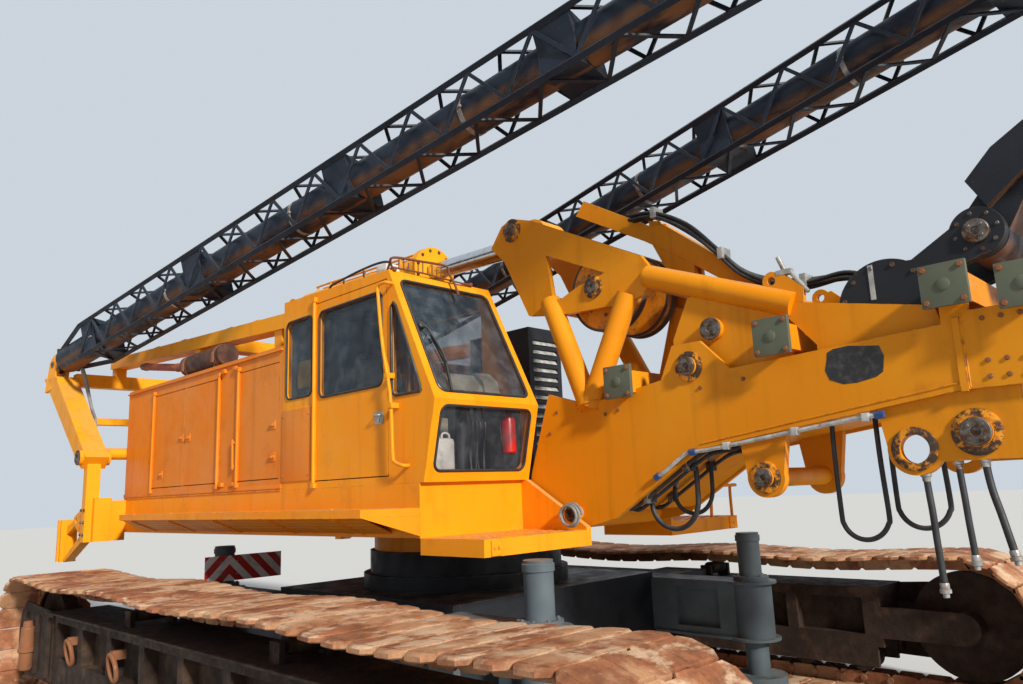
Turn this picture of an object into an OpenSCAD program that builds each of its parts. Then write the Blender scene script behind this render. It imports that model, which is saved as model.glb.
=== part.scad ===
// Pile driver rig on crawler tracks, with its leader laid forward on two long stays.
// Millimetres. Origin on the ground under the slewing centre, X forward, Y to the left, Z up.

/* [Tracks] */
// Distance from the middle of the machine to the middle of a track
track_y = 2450; // [2350:10:2700]
// Width of a track shoe
shoe_w = 910; // [700:10:910]
// Radius over the shoes where the track runs round its ends
track_r = 606; // [560:2:660]
// Distance from the slewing centre to the idler and sprocket axles
wheel_x = 3600; // [3300:20:4000]
// Number of shoes on a track
shoe_n = 80; // [60:2:90]
// Thickness of a shoe
shoe_t = 45; // [35:1:60]
// Open gap between two shoes
shoe_gap = 16; // [14:1:30]
// Height of the chain inside the shoes
chain_t = 110; // [80:2:120]
// Width of the chain
chain_w = 260; // [200:10:300]
// Sag of the upper run between its rollers
track_sag = 40; // [0:5:60]
// Half width of a track frame
side_half = 250; // [220:5:300]
// Top of a track frame
side_top = 900; // [860:5:900]
// Distance from the slewing centre to each end of a track frame's box
side_x = 2950; // [2850:10:3050]
// Radius of a bottom roller
roller_r = 105; // [90:1:115]
// Number of bottom rollers on a track
roller_n = 11; // [7:1:13]
// Distance from the slewing centre to a top roller
carrier_x = 1200; // [900:20:1500]
// Radius of a top roller
carrier_r = 60; // [40:2:60]

/* [Carbody] */
// Top of the carbody
carbody_z = 1180; // [1140:5:1240]
// Distance from the slewing centre to a cross beam
beam_x = 1000; // [900:10:1100]
// Width of a cross beam
beam_w = 480; // [400:10:600]
// Distance of a jack ahead of or behind the slewing centre
jack_x = 2206; // [2000:10:2400]
// Distance of a jack from the middle of the machine
jack_y = 1353; // [1200:10:1450]
// Radius of a jack's tube
jack_r = 97; // [80:1:110]
// Top of the front jacks' and rear jacks' tubes
jack_top = 1425; // [1300:5:1425]

/* [Slewing] */
// Radius of the slewing ring
ring_r = 900; // [800:10:1000]
// Radius of the hole through the slewing ring
ring_bore_r = 680; // [600:10:720]
// Height of the joint in the slewing ring
ring_z = 1380; // [1330:5:1430]

/* [Deck and house] */
// Underside of the deck
deck_z0 = 1564; // [1520:2:1600]
// Top of the deck
deck_z1 = 1949; // [1900:2:1990]
// Half width of the deck and house
deck_half = 1609; // [1550:1:1700]
// Rear end of the deck
deck_rear = -4380; // [-4600:10:-4200]
// Front end of the deck
deck_front = 1330; // [1250:10:1330]
// Distance from the middle of the machine to the inner face of a deck girder
girder_y = 525; // [515:1:530]
// Thickness of a deck girder
girder_t = 50; // [30:1:50]
// Thickness of the deck's skirt
skirt_t = 20; // [12:1:30]
// Thickness of the deck's top plate
deck_plate = 30; // [12:1:40]
// Top of the house
house_top = 3250; // [3150:5:3300]
// Front end of the house
house_front = -603; // [-700:1:-603]
// Thickness of the house walls and doors
wall_t = 40; // [25:1:50]
// Height of the sill under the house doors
door_z0 = 2060; // [2020:5:2120]
// Top of the house doors
door_z1 = 3100; // [3000:5:3140]
// Clearance round a door
door_gap = 8; // [6:1:12]
// Width of a catwalk
catwalk_w = 290; // [200:10:400]
// Top of a catwalk
catwalk_z = 1775; // [1740:5:1800]
// Front end of the steps beside the frame's hinge
step_front = 1980; // [1900:10:2000]
// Top of the front steps
step_z1 = 1564; // [1540:2:1564]
// Underside of the front steps
step_z0 = 1450; // [1440:2:1480]

/* [Cab] */
// Height of the knee in the cab's front
cab_knee_z = 2532; // [2450:2:2600]
// Front of the cab's roof, ahead of the slewing centre
cab_roof_x = 989; // [900:5:1050]
// Front of the cab's knee, ahead of the slewing centre
cab_knee_x = 1518; // [1450:2:1560]
// Front of the cab's floor, ahead of the slewing centre
cab_floor_x = 1378; // [1330:2:1400]
// Height of the roof at the front
cab_roof_z = 3595; // [3500:5:3620]
// Height of the roof at the rear
cab_rear_z = 3642; // [3560:2:3700]
// Width of the cab
cab_w = 1070; // [1000:5:1070]
// Thickness of the cab's walls
cab_t = 45; // [30:1:60]
// Rear edge of the cab door
cab_door_x0 = -75; // [-120:5:-40]
// Front edge of the cab door
cab_door_x1 = 960; // [900:5:970]

/* [Front frame] */
// Distance of the frame's hinge ahead of the slewing centre
hinge_x = 1840; // [1800:5:1870]
// Height of the frame's hinge
hinge_z = 1680; // [1660:5:1700]
// Radius of the hinge pin
hinge_r = 60; // [45:1:70]
// Half width over the frame's side plates
frame_half = 500; // [480:1:505]
// Thickness of the frame's side plates
frame_t = 40; // [25:1:45]
// Half width over the upper plates that hold the cylinder's pin
apex_half = 400; // [380:1:420]
// Thickness of the upper plates
apex_t = 50; // [30:1:60]
// Distance of the cylinder's pin ahead of the slewing centre
apex_x = 1170; // [1140:5:1200]
// Height of the cylinder's pin
apex_z = 4120; // [4100:5:4140]
// Radius of the cylinder's pin
apex_pin_r = 60; // [45:1:60]
// Diameter of the slanting struts
strut_d = 170; // [140:5:190]
// Radius of the two rope sheaves
sheave_r = 340; // [300:5:350]
// Width of a rope sheave
sheave_w = 120; // [80:5:130]
// Distance of a rope sheave from the middle of the machine
sheave_y = 200; // [180:5:220]
// Distance of the sheave's pin ahead of the slewing centre
sheave_x = 2040; // [2020:5:2060]
// Height of the sheave's pin
sheave_z = 3420; // [3400:5:3440]

// Radius of the open socket under the frame
socket_r = 80; // [60:1:90]

/* [Top cylinder] */
// Distance of the barrel's pin behind the slewing centre
barrel_x = -3000; // [-3200:20:-2800]
// Height of the barrel's pin
barrel_z = 4250; // [4200:5:4300]
// Radius of the barrel
barrel_r = 190; // [160:2:200]
// Radius of the rod
rod_r = 90; // [70:1:110]
// Length of the barrel from its pin to its front flange
barrel_l = 2560; // [2400:10:2700]

/* [Rear frame and stays] */
// Distance of the stays' rear pins behind the slewing centre
anchor_x = -5930; // [-6000:5:-5850]
// Distance of the stays' rear pins from the middle of the machine
anchor_y = 1990; // [1950:5:2020]
// Height of the stays' rear pins
anchor_z = 3780; // [3740:5:3820]
// Radius of the stays' pins
stay_pin_r = 45; // [35:1:55]
// Radius of a stay's tube
stay_r = 170; // [150:1:180]
// Radius of a stay's rod
stay_rod_r = 100; // [80:1:110]
// Length of a stay's tube from its rear pin
stay_tube_l = 11150; // [10600:50:11200]
// Length of the bore for the rod in a stay's tube
stay_bore_l = 5250; // [5000:50:5500]
// Distance from a stay's middle to the middle of each stiffening bar
truss_r = 300; // [280:5:305]
// Thickness of the stiffening bars
truss_t = 45; // [30:1:50]
// Distance along a bar between two lacing joints
lace_pitch = 635; // [500:5:800]
// Number of star boxes on a stay
star_n = 5; // [3:1:6]
// Length of a star box along the stay
star_l = 320; // [200:10:400]

/* [Leader] */
// Distance of the leader's pivot ahead of the slewing centre
pivot_x = 4700; // [4680:5:4720]
// Height of the leader's pivot
pivot_z = 3180; // [3170:5:3200]
// Angle of the leader above level as it is laid down
leader_angle = 30.5; // [28:0.5:33]
// Length of the leader from its pivot
leader_l = 20000; // [14000:500:24000]
// Half depth of the leader, from its front plate to its back plate
leader_deep = 341; // [300:1:345]
// Half width of the leader above its foot section
leader_half = 185; // [160:5:190]
// Half width of the leader's foot section
leader_foot_half = 300; // [280:5:305]
// Length of the foot section from the pivot
foot_section_l = 1500; // [1300:50:1800]
// Thickness of the leader's plates
leader_t = 14; // [10:1:20]
// Radius of a guide pipe on the leader's front
guide_r = 50; // [40:1:55]
// Distance of the stays' lugs along the leader from its pivot
lug_u = 5768; // [5700:2:5900]
// Distance of the stays' lugs ahead of the leader's middle
lug_front = 190; // [160:5:220]
// Distance of the stays' front eyes from the middle of the machine
lug_y = 310; // [305:1:330]

/* [Hidden] */
$fn = 48;

fit = 0.3;
cab_z = deck_z1;
wide = 2 * deck_half + 2000;
yellow = [0.93, 0.58, 0.06];
bright = [0.96, 0.68, 0.08];
black = [0.08, 0.085, 0.10];
brown = [0.30, 0.20, 0.14];
sand = [0.62, 0.45, 0.34];
steel = [0.45, 0.47, 0.48];
blue_grey = [0.25, 0.30, 0.34];

// Places that several pieces share
cab_door_z0 = cab_z + cab_t + 20;
cab_door_z1 = cab_roof_z - 75;
inner_x = deck_front - 630;
hinge_bar_r = 14;
hinge_out = hinge_bar_r + 2;
side_z0 = 400;
wheel_r = (track_r - shoe_t - chain_t) * cos(180 * track_pitch() / (PI * track_r) / 2) - 1;
roller_z = shoe_t + chain_t + roller_r + fit;
carrier_z = 2 * track_r - shoe_t - chain_t - carrier_r - sag_drop(carrier_x - track_pitch());
arm_half = side_half - 60;
jack_half = 130;
beam_z0 = 500;
beam_z1 = 1000;
roof_t = 30;
barrel_angle = atan2(apex_z - barrel_z, apex_x - barrel_x);
barrel_reach = norm([apex_x - barrel_x, apex_z - barrel_z]);

// Right stay: its rear pin, its front eye as laid down, and that eye with the leader upright
anchor = [anchor_x, -anchor_y, anchor_z];
eye_down = [pivot_x + leader_u(leader_angle).x, -lug_y, pivot_z + leader_u(leader_angle).y];
eye_up = [pivot_x + leader_u(90).x, -lug_y, pivot_z + leader_u(90).y];
stay_l = norm(eye_down - anchor);
stay_dir = (eye_down - anchor) / stay_l;
stay_up = (eye_up - anchor) / norm(eye_up - anchor);
stay_axis = cross(stay_up, stay_dir) / norm(cross(stay_up, stay_dir));
stay_yaw = atan2(stay_dir.y, stay_dir.x);
stay_pitch = -asin(stay_dir.z);
stay_flat = [-sin(stay_yaw), cos(stay_yaw), 0];
stay_roll = atan2(stay_axis * cross(stay_dir, stay_flat), stay_axis * stay_flat);
rod_hold = 1340;
eye_plate_l = 500;
taper_x = 1100;
taper_r = 140;

// The stays' lug on the leader, seen from the leader's pivot, at an angle above level
function leader_u(angle) = [lug_u * cos(angle) + lug_front * sin(angle),
  lug_u * sin(angle) - lug_front * cos(angle)];

function track_pitch() = (4 * wheel_x + 2 * PI * track_r) / shoe_n;

// Drop of the upper run at x: the run sags between the end wheels and the top rollers
function sag_span(x) = abs(x) < carrier_x ? [-carrier_x, carrier_x] :
  x > 0 ? [carrier_x, wheel_x] : [-wheel_x, -carrier_x];
function sag_u(x) = (x - sag_span(x)[0]) / (sag_span(x)[1] - sag_span(x)[0]);
function sag_drop(x) = track_sag * pow(sin(180 * sag_u(x)), 2);
function sag_turn(x) = atan(-PI * track_sag * sin(360 * sag_u(x)) /
  (sag_span(x)[1] - sag_span(x)[0]));

// Place on the loop at a distance s from the front of the lower run: [x, z, outward angle]
function loop_at(s) =
  let (run = 2 * wheel_x, arc = PI * track_r)
  s < run ? [wheel_x - s, 0, -90] :
  s < run + arc ? let (a = -90 - 180 * (s - run) / arc)
    [-wheel_x + track_r * cos(a), track_r + track_r * sin(a), a] :
  s < 2 * run + arc ? let (x = -wheel_x + s - run - arc)
    [x, 2 * track_r - sag_drop(x), 90 + sag_turn(x)] :
  let (a = 90 - 180 * (s - 2 * run - arc) / arc)
    [wheel_x + track_r * cos(a), track_r + track_r * sin(a), a];

// Point u along the travel and v outward from a place on the loop
function loop_point(p, u, v) = [p.x + u * sin(p.z) + v * cos(p.z),
  p.y - u * cos(p.z) + v * sin(p.z)];

function loop_line(depth) = [for (k = [0 : shoe_n - 1])
  loop_point(loop_at((k + 0.5) * track_pitch()), 0, -depth)];

function shoe_line() = let (h = (track_pitch() - shoe_gap) / 2, notch = shoe_t * 0.6)
  [for (k = [0 : shoe_n - 1]) let (p = loop_at((k + 0.5) * track_pitch()))
    each [loop_point(p, -h, -notch), loop_point(p, -h, 0), loop_point(p, h, 0),
      loop_point(p, h, -notch)]];

// A convex outline moved inward by t on every side, its points going anticlockwise
function cut_point(p, q, r, t) =
  let (a = (q - p) / norm(q - p), b = (r - q) / norm(r - q),
    n = [-a.y, a.x], m = [-b.y, b.x], w = a.x * b.y - a.y * b.x,
    d = ((q + t * m) - (q + t * n)))
  q + t * n + a * (d.x * b.y - d.y * b.x) / w;
function inset(line, t) = let (n = len(line)) [for (i = [0 : n - 1])
  cut_point(line[(i + n - 1) % n], line[i], line[(i + 1) % n], t)];

// Stands an XZ outline upright between two Y values
module side_plate(y0, y1) {
  translate([0, y1, 0]) rotate([90, 0, 0]) linear_extrude(y1 - y0) children();
}

// A rod along Y between two Y values
module cross_rod(x, z, r, y0, y1) {
  translate([x, y1, z]) rotate([90, 0, 0]) cylinder(r = r, h = y1 - y0);
}

module block(x0, x1, y0, y1, z0, z1) {
  translate([x0, y0, z0]) cube([x1 - x0, y1 - y0, z1 - z0]);
}

// A round bar from p to q
module bar(p, q, d) {
  v = q - p;
  translate(p) rotate([0, atan2(norm([v.x, v.y]), v.z), atan2(v.y, v.x)])
    cylinder(d = d, h = norm(v));
}

module rounded(x0, x1, y0, y1, r) {
  translate([x0 + r, y0]) square([x1 - x0 - 2 * r, y1 - y0]);
  translate([x0, y0 + r]) square([x1 - x0, y1 - y0 - 2 * r]);
  for (x = [x0 + r, x1 - r], y = [y0 + r, y1 - r]) translate([x, y]) circle(r = r);
}

// The left-hand copy of a right-hand piece
module left_hand() {
  mirror([0, 1, 0]) children();
}

module track(side) {
  color(sand) translate([0, side * track_y, 0]) {
    side_plate(-shoe_w / 2, shoe_w / 2) difference() {
      polygon(shoe_line());
      polygon(loop_line(shoe_t));
    }
    side_plate(-chain_w / 2, chain_w / 2) difference() {
      polygon(loop_line(shoe_t - 5));
      polygon(loop_line(shoe_t + chain_t));
    }
  }
}

module track_frame(side) {
  pocket_n = 8;
  pocket_l = (2 * side_x - 200) / pocket_n;
  color(brown) translate([0, side * track_y, 0]) {
    difference() {
      block(-side_x, side_x, -side_half, side_half, side_z0, side_top);
      for (k = [0 : pocket_n - 1], s = [-1, 1])
        translate([-side_x + 100 + (k + 0.5) * pocket_l, s * side_half, 0])
          block(-pocket_l / 2 + 50, pocket_l / 2 - 50, -110, 110, 500, side_top - 90);
    }
    for (s = [-1, 1]) {
      translate([0, s * (side_half - 20), 0])
        block(-side_x + 60, side_x - 60, -20, 20, 230, side_z0 + 10);
      for (e = [-1, 1]) translate([e * side_x, s * (side_half - 30), 0])
        side_plate(-30, 30) {
          translate([e > 0 ? -60 : 60 - (wheel_x - side_x) - 60, track_r - 130])
            square([wheel_x - side_x + 60, 260]);
          translate([e * (wheel_x - side_x), track_r]) circle(r = 130);
        }
      for (e = [-1, 1]) translate([e * carrier_x, s * (chain_w / 2 + 40), 0])
        block(-60, 60, -20, 20, side_top - 10, carrier_z + 30);
    }
  }
}

module rollers(side) {
  step = (2 * side_x - 500) / (roller_n - 1);
  color(brown) translate([0, side * track_y, 0]) {
    for (k = [0 : roller_n - 1]) {
      x = -side_x + 250 + k * step;
      cross_rod(x, roller_z, roller_r, -chain_w / 2 + 10, chain_w / 2 - 10);
      cross_rod(x, roller_z, 40, -side_half + 40 + fit, side_half - 40 - fit);
    }
    for (e = [-1, 1]) {
      cross_rod(e * carrier_x, carrier_z, carrier_r, -chain_w / 2 + 10, chain_w / 2 - 10);
      cross_rod(e * carrier_x, carrier_z, 25, -chain_w / 2 - 20 + fit, chain_w / 2 + 20 - fit);
      cross_rod(e * wheel_x, track_r, wheel_r, -65, 65);
      cross_rod(e * wheel_x, track_r, e > 0 ? 130 : 250, -arm_half + fit, arm_half - fit);
    }
  }
}

module carbody() {
  color(black) {
    difference() {
      union() {
        translate([0, 0, beam_z0]) cylinder(r = ring_r + 60, h = carbody_z - beam_z0, $fn = 96);
        block(-beam_x - beam_w / 2, beam_x + beam_w / 2, -1250, 1250, beam_z0, beam_z1 + 60);
      }
      translate([0, 0, beam_z0 + 60]) cylinder(r = ring_bore_r, h = carbody_z, $fn = 96);
    }
    for (s = [-1, 1], e = [-1, 1])
      block(e * beam_x - beam_w / 2, e * beam_x + beam_w / 2,
        s > 0 ? 1240 : -(track_y - side_half), s > 0 ? track_y - side_half : -1240,
        beam_z0, beam_z1);
  }
}

module slew_ring() {
  color(black) difference() {
    translate([0, 0, carbody_z]) cylinder(r = ring_r, h = ring_z - carbody_z, $fn = 96);
    translate([0, 0, carbody_z - 1]) cylinder(r = ring_bore_r, h = ring_z, $fn = 96);
  }
}

// One jack with its arm: e is +1 in front and -1 behind, s is +1 on the left
module jack(e, s) {
  arm_x = beam_x + beam_w / 2;
  color(blue_grey) translate([e * jack_x, s * jack_y, 0]) {
    translate([0, 0, 250]) cylinder(r = jack_r, h = jack_top - 250);
    translate([0, 0, 190]) cylinder(r = 230, h = 61);
    translate([0, 0, 550]) cylinder(r = 165, h = 450);
    translate([0, 0, 1000]) cylinder(r = 150, h = 60);
    difference() {
      block(min(0, -e * (jack_x - arm_x)), max(0, -e * (jack_x - arm_x)),
        -jack_half, jack_half, 550, 1000);
      for (f = [-1, 1]) translate([0, f * jack_half, 0])
        block(-e * (jack_x - arm_x) / 2 - 220, -e * (jack_x - arm_x) / 2 + 220,
          -60, 60, 610, 940);
    }
  }
}

module deck() {
  cell_n = 6;
  band = [[-deck_half + skirt_t, -girder_y - girder_t], [-girder_y, girder_y],
    [girder_y + girder_t, deck_half - skirt_t]];
  cell = (deck_front - deck_rear - skirt_t) / cell_n;
  color(yellow) {
    difference() {
      block(deck_rear, deck_front, -deck_half, deck_half, deck_z0, deck_z1);
      for (k = [0 : cell_n - 1], b = band)
        block(deck_rear + skirt_t + k * cell, deck_rear + (k + 1) * cell,
          b[0], b[1], deck_z0 - 10, deck_z1 - deck_plate);
      block(inner_x, deck_front + 10, -girder_y, girder_y, deck_z0 - 10, deck_z1 + 10);
    }
    difference() {
      translate([0, 0, ring_z + fit])
        cylinder(r = ring_r - 40, h = deck_z1 - deck_plate - ring_z - fit + 5, $fn = 96);
      translate([0, 0, ring_z - 10]) cylinder(r = ring_bore_r - 30, h = deck_z1, $fn = 96);
      block(inner_x, ring_r, -girder_y, girder_y, ring_z, deck_z1);
    }
    for (s = [-1, 1]) difference() {
      side_plate(s > 0 ? girder_y : -girder_y - girder_t,
        s > 0 ? girder_y + girder_t : -girder_y)
        polygon([[deck_front - 60, step_z0], [deck_front - 60, deck_z1],
          [deck_front + 50, deck_z1], [step_front, step_z1 + 20], [step_front, step_z0]]);
      cross_rod(hinge_x, hinge_z, hinge_r + fit, -wide, wide);
    }
  }
}

module front_step() {
  color(yellow) difference() {
    block(deck_front, step_front, -deck_half, -girder_y - girder_t, step_z0, step_z1);
    block(deck_front + 20, step_front - 20, -deck_half + 20, -girder_y - girder_t - 20,
      step_z0 - 10, step_z1 - 20);
  }
}

module catwalk() {
  y0 = -deck_half - catwalk_w;
  x0 = deck_rear + 200;
  x1 = deck_rear + 700;
  x2 = deck_front - 310;
  line = [[x0, -deck_half], [x1, y0], [x2, y0], [deck_front, -deck_half]];
  lip = 60;
  edge = norm([deck_front - x2, catwalk_w]);
  color(yellow) {
    // Folded plate, its sloping skirt, the brackets and the gusset at the front end
    difference() {
      translate([0, 0, catwalk_z - lip]) linear_extrude(lip) polygon(line);
      translate([0, 0, catwalk_z - lip - 10]) linear_extrude(lip) polygon(inset(line, 12));
    }
    skirt(x1 + 20, x2 - 20, y0);
    for (x = [x2 - 370 : -1000 : x1]) translate([x, 0, 0]) rotate([90, 0, 90])
      linear_extrude(14) polygon([[-deck_half, catwalk_z - 195], [-deck_half, catwalk_z - 5],
        [y0 + 6, catwalk_z - 5], [y0 + 6, catwalk_z - lip - 14]]);
    translate([deck_front, -deck_half, 0])
      rotate([90, 0, 180 + atan2(catwalk_w, deck_front - x2)]) translate([0, 0, -12]) linear_extrude(12)
        polygon([[0, catwalk_z - lip + 5], [0, catwalk_z - 195], [edge, catwalk_z - lip + 5]]);
  }
}

// Thin sloping plate under a catwalk between two places along the machine
module skirt(x0, x1, y0) {
  translate([x0, 0, 0]) rotate([90, 0, 90]) linear_extrude(x1 - x0)
    polygon([[-deck_half, catwalk_z - 185], [-deck_half, catwalk_z - 175],
      [y0 + 12, catwalk_z - 50], [y0 + 8, catwalk_z - 58]]);
}

// Doors of the house: [rear edge, front edge, hinged at the rear (-1) or front (1)]
right_doors = [[-3560, -2720, -1], [-2690, -1850, 1], [-1460, -680, -1]];
left_doors = [[-3560, -2500, -1], [-2100, -1060, -1]];

// Hinge bar of a door, at its rear edge (e = -1) or front edge (e = 1)
module hinge_bar(x0, x1, e, z0, z1) {
  x = e < 0 ? x0 + hinge_bar_r : x1 - hinge_bar_r;
  translate([x, -deck_half - hinge_out, z0 - 20]) cylinder(r = hinge_bar_r, h = z1 - z0 + 40);
  block(x - 8, x + 8, -deck_half - hinge_out, -deck_half + 5, z0, z1);
}

// Lugs on the wall that hold a hinge bar's ends
module hinge_lugs(x0, x1, e, z0, z1) {
  x = e < 0 ? x0 + hinge_bar_r : x1 - hinge_bar_r;
  for (z = [z0 - 60 - fit, z1 + 20 + fit]) block(x - 22, x + 22, -deck_half - hinge_out - 16,
    -deck_half, z, z + 40);
}

module door_hole(x0, x1, s) {
  block(x0 - door_gap, x1 + door_gap, s > 0 ? deck_half - 2 * wall_t : -deck_half - wall_t,
    s > 0 ? deck_half + wall_t : -deck_half + 2 * wall_t,
    door_z0 - door_gap, door_z1 + door_gap);
}

module house_walls() {
  color(yellow) {
    for (d = right_doors) hinge_lugs(d[0], d[1], d[2], door_z0, door_z1);
    left_hand() for (d = left_doors) hinge_lugs(d[0], d[1], d[2], door_z0, door_z1);
  }
  color(yellow) difference() {
    block(deck_rear, house_front, -deck_half, deck_half, deck_z1, house_top - roof_t);
    block(deck_rear + wall_t, house_front - wall_t, -deck_half + wall_t, deck_half - wall_t,
      deck_z1 - 10, house_top);
    for (d = right_doors) door_hole(d[0], d[1], -1);
    for (d = left_doors) door_hole(d[0], d[1], 1);
  }
}

module house_roof() {
  color(yellow)
    block(deck_rear, house_front, -deck_half, deck_half, house_top - roof_t, house_top);
}

module house_door(d) {
  color(yellow) {
    block(d[0], d[1], -deck_half, -deck_half + wall_t, door_z0, door_z1);
    hinge_bar(d[0], d[1], d[2], door_z0, door_z1);
  }
}

module engine() {
  color(steel) block(-3500, -1900, -450, 450, deck_z1, 2850);
}

module exhaust() {
  color(brown) {
    y = -1500;
    z = house_top + 130;
    difference() {
      union() {
        bar([-2900, y, z], [-1950, y, z], 230);
        bar([-4270, y, z + 190], [-2880, y, z - 15], 88);
      }
      bar([-4280, y, z + 191], [-3700, y, z + 106], 72);
    }
    for (x = [-2780, -2100]) block(x - 20, x + 20, y - 80, y + 80, house_top, house_top + 60);
  }
}

module cooler() {
  front = 335;
  left = 1130;
  color(black) difference() {
    block(-560, front, 640, left, deck_z1, 3530);
    for (k = [0 : 11]) block(front - 40, front + 10, 700, left - 60, 2300 + k * 95, 2360 + k * 95);
  }
}

function cab_outline() = [[house_front, cab_z], [cab_floor_x, cab_z],
  [cab_knee_x, cab_knee_z], [cab_roof_x, cab_roof_z], [house_front, cab_rear_z]];
cab_y0 = -deck_half;
cab_y1 = -deck_half + cab_w;

// Stands on the cab's front between two points of its outline, X along it and Z inward
module on_front(p, q) {
  translate([p.x, 0, p.y]) rotate([0, -atan2(q.y - p.y, q.x - p.x), 0]) children();
}

// Upper and lower window of the cab's front, as deep as d from the height h
module front_panes(h, d) {
  line = cab_outline();
  upper = norm(line[3] - line[2]);
  lower = norm(line[2] - line[1]);
  on_front(line[2], line[3]) translate([0, 0, h]) linear_extrude(d)
    rounded(70, upper - 90, cab_y0 + 75, cab_y1 - 75, 60);
  on_front(line[1], line[2]) translate([0, 0, h]) linear_extrude(d)
    rounded(80, lower - 45, cab_y0 + 75, cab_y1 - 75, 60);
}

// Side windows of the cab beside its door
module side_panes(y0, y1) {
  side_plate(y0, y1) {
    rounded(house_front + 55, cab_door_x0 - 45, 2740, 3440, 60);
    polygon([[1020, 3300], [1020, 2640], [1060, 2600], [1380, 2600], [1060, 3320]]);
  }
}

module inner_pane(y0, y1) {
  side_plate(y0, y1) rounded(-100, 930, 2700, 3420, 60);
}

module cab_shell() {
  color(yellow) difference() {
    side_plate(cab_y0, cab_y1) polygon(cab_outline());
    side_plate(cab_y0 + cab_t, cab_y1 - cab_t) polygon(inset(cab_outline(), cab_t));
    front_panes(-20, cab_t + 40);
    side_panes(cab_y0 - 10, cab_y0 + cab_t + 10);
    inner_pane(cab_y1 - cab_t - 10, cab_y1 + 10);
    block(cab_door_x0 - door_gap, cab_door_x1 + door_gap, cab_y0 - 10, cab_y0 + cab_t + 10,
      cab_door_z0 - door_gap, cab_door_z1 + door_gap);
  }
  color(yellow) hinge_lugs(cab_door_x0, cab_door_x1, -1, cab_door_z0, cab_door_z1);
}

module cab_glass() {
  color([0.5, 0.6, 0.65, 0.5]) {
    front_panes(cab_t / 2 - 4, 8);
    side_panes(cab_y0 + cab_t / 2 - 4, cab_y0 + cab_t / 2 + 4);
    inner_pane(cab_y1 - cab_t / 2 - 4, cab_y1 - cab_t / 2 + 4);
  }
}

module door_pane(y0, y1) {
  side_plate(y0, y1) rounded(0, cab_door_x1 - 60, 2700, 3440, 60);
}

module cab_door() {
  color(yellow) {
    difference() {
      block(cab_door_x0, cab_door_x1, cab_y0, cab_y0 + cab_t, cab_door_z0, cab_door_z1);
      door_pane(cab_y0 - 10, cab_y0 + cab_t + 10);
    }
    hinge_bar(cab_door_x0, cab_door_x1, -1, cab_door_z0, cab_door_z1);
  }
}

module cab_door_glass() {
  color([0.5, 0.6, 0.65, 0.5]) door_pane(cab_y0 + cab_t / 2 - 4, cab_y0 + cab_t / 2 + 4);
}

module cab_seat() {
  mid = (cab_y0 + cab_y1) / 2;
  floor_z = cab_z + cab_t;
  color([0.15, 0.15, 0.16]) {
    block(60, 460, mid - 180, mid + 180, floor_z, floor_z + 320);
    block(0, 540, mid - 260, mid + 260, floor_z + 320, floor_z + 450);
    side_plate(mid - 250, mid + 250) polygon([[-20, floor_z + 440], [120, floor_z + 440],
      [20, floor_z + 1130], [-100, floor_z + 1130]]);
  }
}

// Pin and fork of the right stay, seen along the stay
module on_stay() {
  translate(anchor) rotate([stay_roll, stay_pitch, stay_yaw]) children();
}

module rear_fork() {
  on_stay() {
    for (s = [-1, 1]) side_plate(s > 0 ? 45 : -85, s > 0 ? 85 : -45) {
      circle(r = 130);
      translate([-130, -380]) square([260, 380]);
    }
    cross_rod(0, 0, stay_pin_r, -85, 85);
  }
}

module rear_side() {
  y0 = -anchor_y - 120;
  y1 = -anchor_y + 140;
  joint_z = 2450;
  rear_fork();
  // Head, slanting strut, pin joint and leg
  side_plate(y0, y1) polygon([[anchor_x - 200, anchor_z - 160], [anchor_x - 190, anchor_z - 200],
    [deck_rear - 160, joint_z - 50], [deck_rear, joint_z - 130], [deck_rear + 130, joint_z],
    [anchor_x + 400, anchor_z - 300], [anchor_x + 310, anchor_z - 200],
    [anchor_x - 100, anchor_z - 200]]);
  cross_rod(deck_rear - 10, joint_z, 90, y0 - 40, y1 + 40);
  block(deck_rear - 60, deck_rear + 55, y0 + 50, y1 - 60, 1475, joint_z - 60);
  // Post between the leg and the deck
  block(deck_rear - 110, deck_rear + 120, y0 + 130, y0 + 320, 1475, 1975);
  block(deck_rear - 110, deck_rear + 60, y0 + 310, -deck_half, 1475, 1940);
  // Support behind the leg: a pierced lug, an upright channel and its strut
  side_plate(-anchor_y - 40, -anchor_y + 40) difference() {
    polygon([[deck_rear - 60, 1500], [deck_rear - 60, 1900], [deck_rear - 420, 1760],
      [deck_rear - 420, 1680]]);
    translate([deck_rear - 340, 1720]) circle(r = 35);
  }
  difference() {
    block(deck_rear - 860, deck_rear - 700, y0 + 30, y1 - 50, 1230, 1730);
    block(deck_rear - 830, deck_rear - 730, y0 + 20, y1 - 90, 1220, 1740);
  }
  side_plate(-anchor_y - 25, -anchor_y + 25) polygon([[deck_rear - 740, 1640],
    [deck_rear - 740, 1540], [deck_rear - 400, 1660], [deck_rear - 400, 1740]]);
  side_plate(-anchor_y - 50, -anchor_y + 50) polygon([[deck_rear - 740, 1240],
    [deck_rear - 640, 1240], [deck_rear - 40, 1490], [deck_rear - 50, 1590]]);
}

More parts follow.
